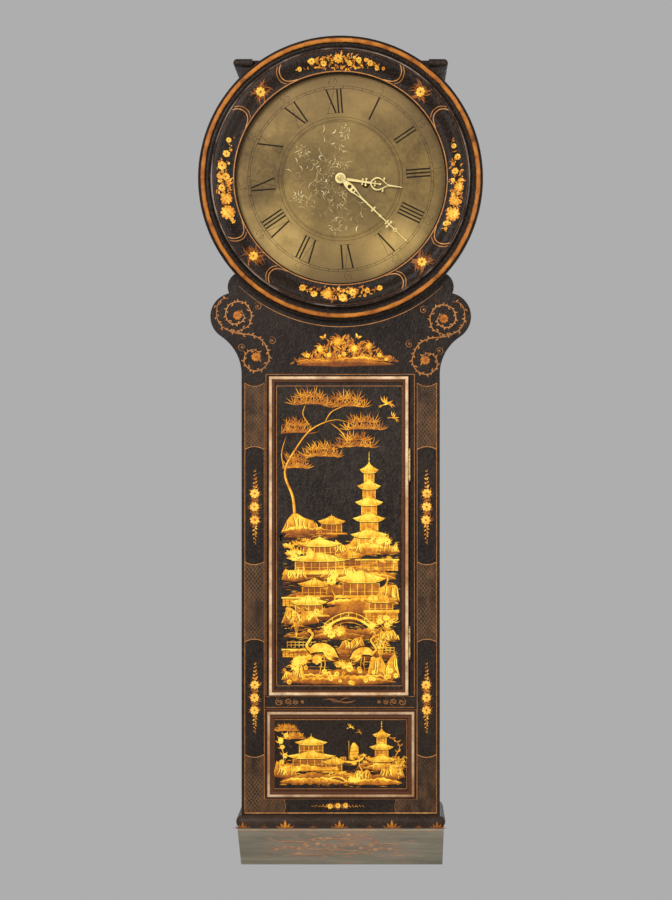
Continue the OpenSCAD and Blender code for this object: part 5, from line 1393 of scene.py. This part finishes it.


# Dial centre: leaf scrolls cut round the hands and filled with wax, with painted highlights along their
# edges on the side towards the light.
# The hands are of gilt brass, and a domed collet with a taper pin holds the minute hand.
def acanthus(radius, turns, seed, bright):
    """A scroll about the origin with a leaf at every step of its outer side. When bright, it is the
    painted
    highlight: a broad stroke along one side of the stem and of each leaf, where the cut catches the
    light;
    else it is the wax in the other side, with a vein in each leaf."""
    chance = np.random.default_rng(seed)
    side = 1 if bright else -1
    motif = curl(radius - 0.4 * side, turns, 0.34, inner=0.2, **CUT)
    for t in np.linspace(0, 0.85, 12):
        turn = 360 * turns * t
        size, lean = radius * chance.uniform(0.35, 0.62) * (1 - 0.4 * t), chance.uniform(10, 55)
        edge = through([(0, 0), (0.2 * side * size, 0.5 * size), (0, size)], 3)
        growth = stroke(edge, 0.62 if bright else 0.36, **CUT)
        if not bright:
            growth += line([(0, 0), (0, 0.7 * size)], 0.22, **CUT)
        motif += set_at(growth, on_clock(radius * (1 - 0.8 * t), turn), turn + lean)
    return motif


shallow_wax = stained("shallow_wax", 90, 5, (0.35, 74, 56, 30), (0.65, 120, 96, 56), Roughness=0.5,
                      Metallic=0.3)
# Painted highlight: a pale brass for the glints where the cut scrolls catch the light.
painted_glint_cut = stained("painted_glint_cut", 60, 6, (0.44, 130, 108, 62), (0.55, 194, 170, 110),
                    (0.66, 255, 244, 200), Metallic=0.6, Roughness=0.3)
# Only the scrolls that face the light, which comes from the clock angle LIT_FROM, get the bright painted
# highlights.
LIT_FROM, BRIGHT_SHARE = 265, -0.6
waxed, bright = [], []
for k in range(6):
    for away, radius, flip, size in ((17, 60, False, 27), (-14, 38, True, 19), (-13, 82, True, 12),
                                     (44, 84, False, 10), (40, 24, False, 10)):
        clock, look = 60 * k + 25 + away, (size, 1.4, 10 * k + size)
        waxed += round_dial(clock, radius, set_at(acanthus(*look, False), flip=flip))
        if math.cos(math.radians(clock - LIT_FROM)) > BRIGHT_SHARE:
            bright += round_dial(clock, radius, set_at(acanthus(*look, True), flip=flip))
lay("dial_scrolls", "case", waxed, flat_front(DIAL_Y), shallow_wax, "dial_brass")
lay("dial_painted_glints", "case", bright, flat_front(DIAL_Y - 0.02), painted_glint_cut, "dial_brass")
wear(metal("hand_gilt", (240, 222, 158), (204, 178, 108), 110, 0.28, 0.55), "minute_hand",
     "hour_hand", "hand_collet")


# Gut line: it comes off the barrel, goes down round the weight's pulley and up to a knot over
# the seatboard. As the clock is wound the weight rises, and the two falls shorten with it.
GUT_R, TWIST = 0.7, 5
FALL_Y, FALL_LOW = -108.0, -861.0
BARREL_X, BARREL_Z, SEAT_X, SEAT_Z = 29.0, -9.7, 69.0, -56.0
gut = Finish("gut", Roughness=0.4, Subsurface_Weight=0.15)
gut.paint(gut.ramp(gut.cloudy(300, 5, gut.stretched(1, 1, 0.15)), (0.3, 158, 118, 66),
                   (0.7, 212, 178, 122)))
gut.relief(gut.cloudy(1500, 3), 0.0001, 0.4)


def strand(name, body, path, side=(0.0, 1.0, 0.0)):
    """A twisted strand along a path in mm: a round section with two low ridges that go once
    round it for every twist. The side is a direction that the path never takes."""
    path = np.asarray(path, float)
    along = np.gradient(path, axis=0)
    along /= np.linalg.norm(along, axis=1, keepdims=True)
    over = side - along * (along @ np.array(side))[:, None]
    over /= np.linalg.norm(over, axis=1, keepdims=True)
    beside = np.cross(along, over)
    turn = np.linspace(0, 2 * np.pi, 12, endpoint=False)
    ridges = np.cos(2 * turn + 2 * np.pi * path_length(path)[:, None] / TWIST)
    reach = GUT_R * (0.93 + 0.07 * ridges)[..., None]
    points = path[:, None] + reach * (np.cos(turn)[:, None] * beside[:, None]
                                      + np.sin(turn)[:, None] * over[:, None])
    rows = np.arange(reach.size).reshape(ridges.shape)
    piece = solid(name, body, points, skin(rows) + rows[[0, -1]].tolist(), gut, "gut")
    piece.data.shade_smooth()
    return piece


for name, x, top in (("gut_fall_barrel", BARREL_X, BARREL_Z), ("gut_fall_seat", SEAT_X, SEAT_Z)):
    drop = np.linspace(top, FALL_LOW, 640)
    fall = strand(name, "case", np.stack([0 * drop + x, 0 * drop + FALL_Y, drop], 1))
    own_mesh(fall)
    if name == "gut_fall_barrel":
        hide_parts("gut_line")
sweep = np.linspace(0, np.pi, 60)
middle, sheave = (BARREL_X + SEAT_X) / 2, (SEAT_X - BARREL_X) / 2
strand("gut_loop", "weight", np.stack([middle - sheave * np.cos(sweep), 0 * sweep + FALL_Y,
                                       FALL_LOW - sheave * np.sin(sweep)], 1))
sweep = np.linspace(0, 2 * np.pi, 70)
knot = 0.6 * np.stack([np.sin(sweep) + 2 * np.sin(2 * sweep), np.cos(sweep) - 2 * np.cos(2 * sweep),
                       -1.4 * np.sin(3 * sweep)], 1)
strand("gut_knot", "case", knot + (SEAT_X, FALL_Y, SEAT_Z + 1.5), (0.0, 0.0, 1.0))


# Floor: a plain pale disc far below the clock, which hangs on a wall. It is painted in a matt
# grey, and belongs to the studio and not to the clock.
FLOOR_Z, FLOOR_R = -1.95, 3.2
rim = on_clock(FLOOR_R, 90 - np.linspace(0, 360, 96, endpoint=False))
floor_mesh = bpy.data.meshes.new("floor")
floor_mesh.from_pydata([(x, y, FLOOR_Z) for x, y in rim.tolist()], [], [list(range(len(rim)))])
floor_mesh.materials.append(stained("floor_paint", 3, 3, (0.3, 170, 170, 171), (0.7, 178, 178, 179),
                                    Roughness=0.9, Specular_IOR_Level=0.1).material)
floor = bpy.data.objects.new("floor", floor_mesh)
scene.collection.objects.link(floor)
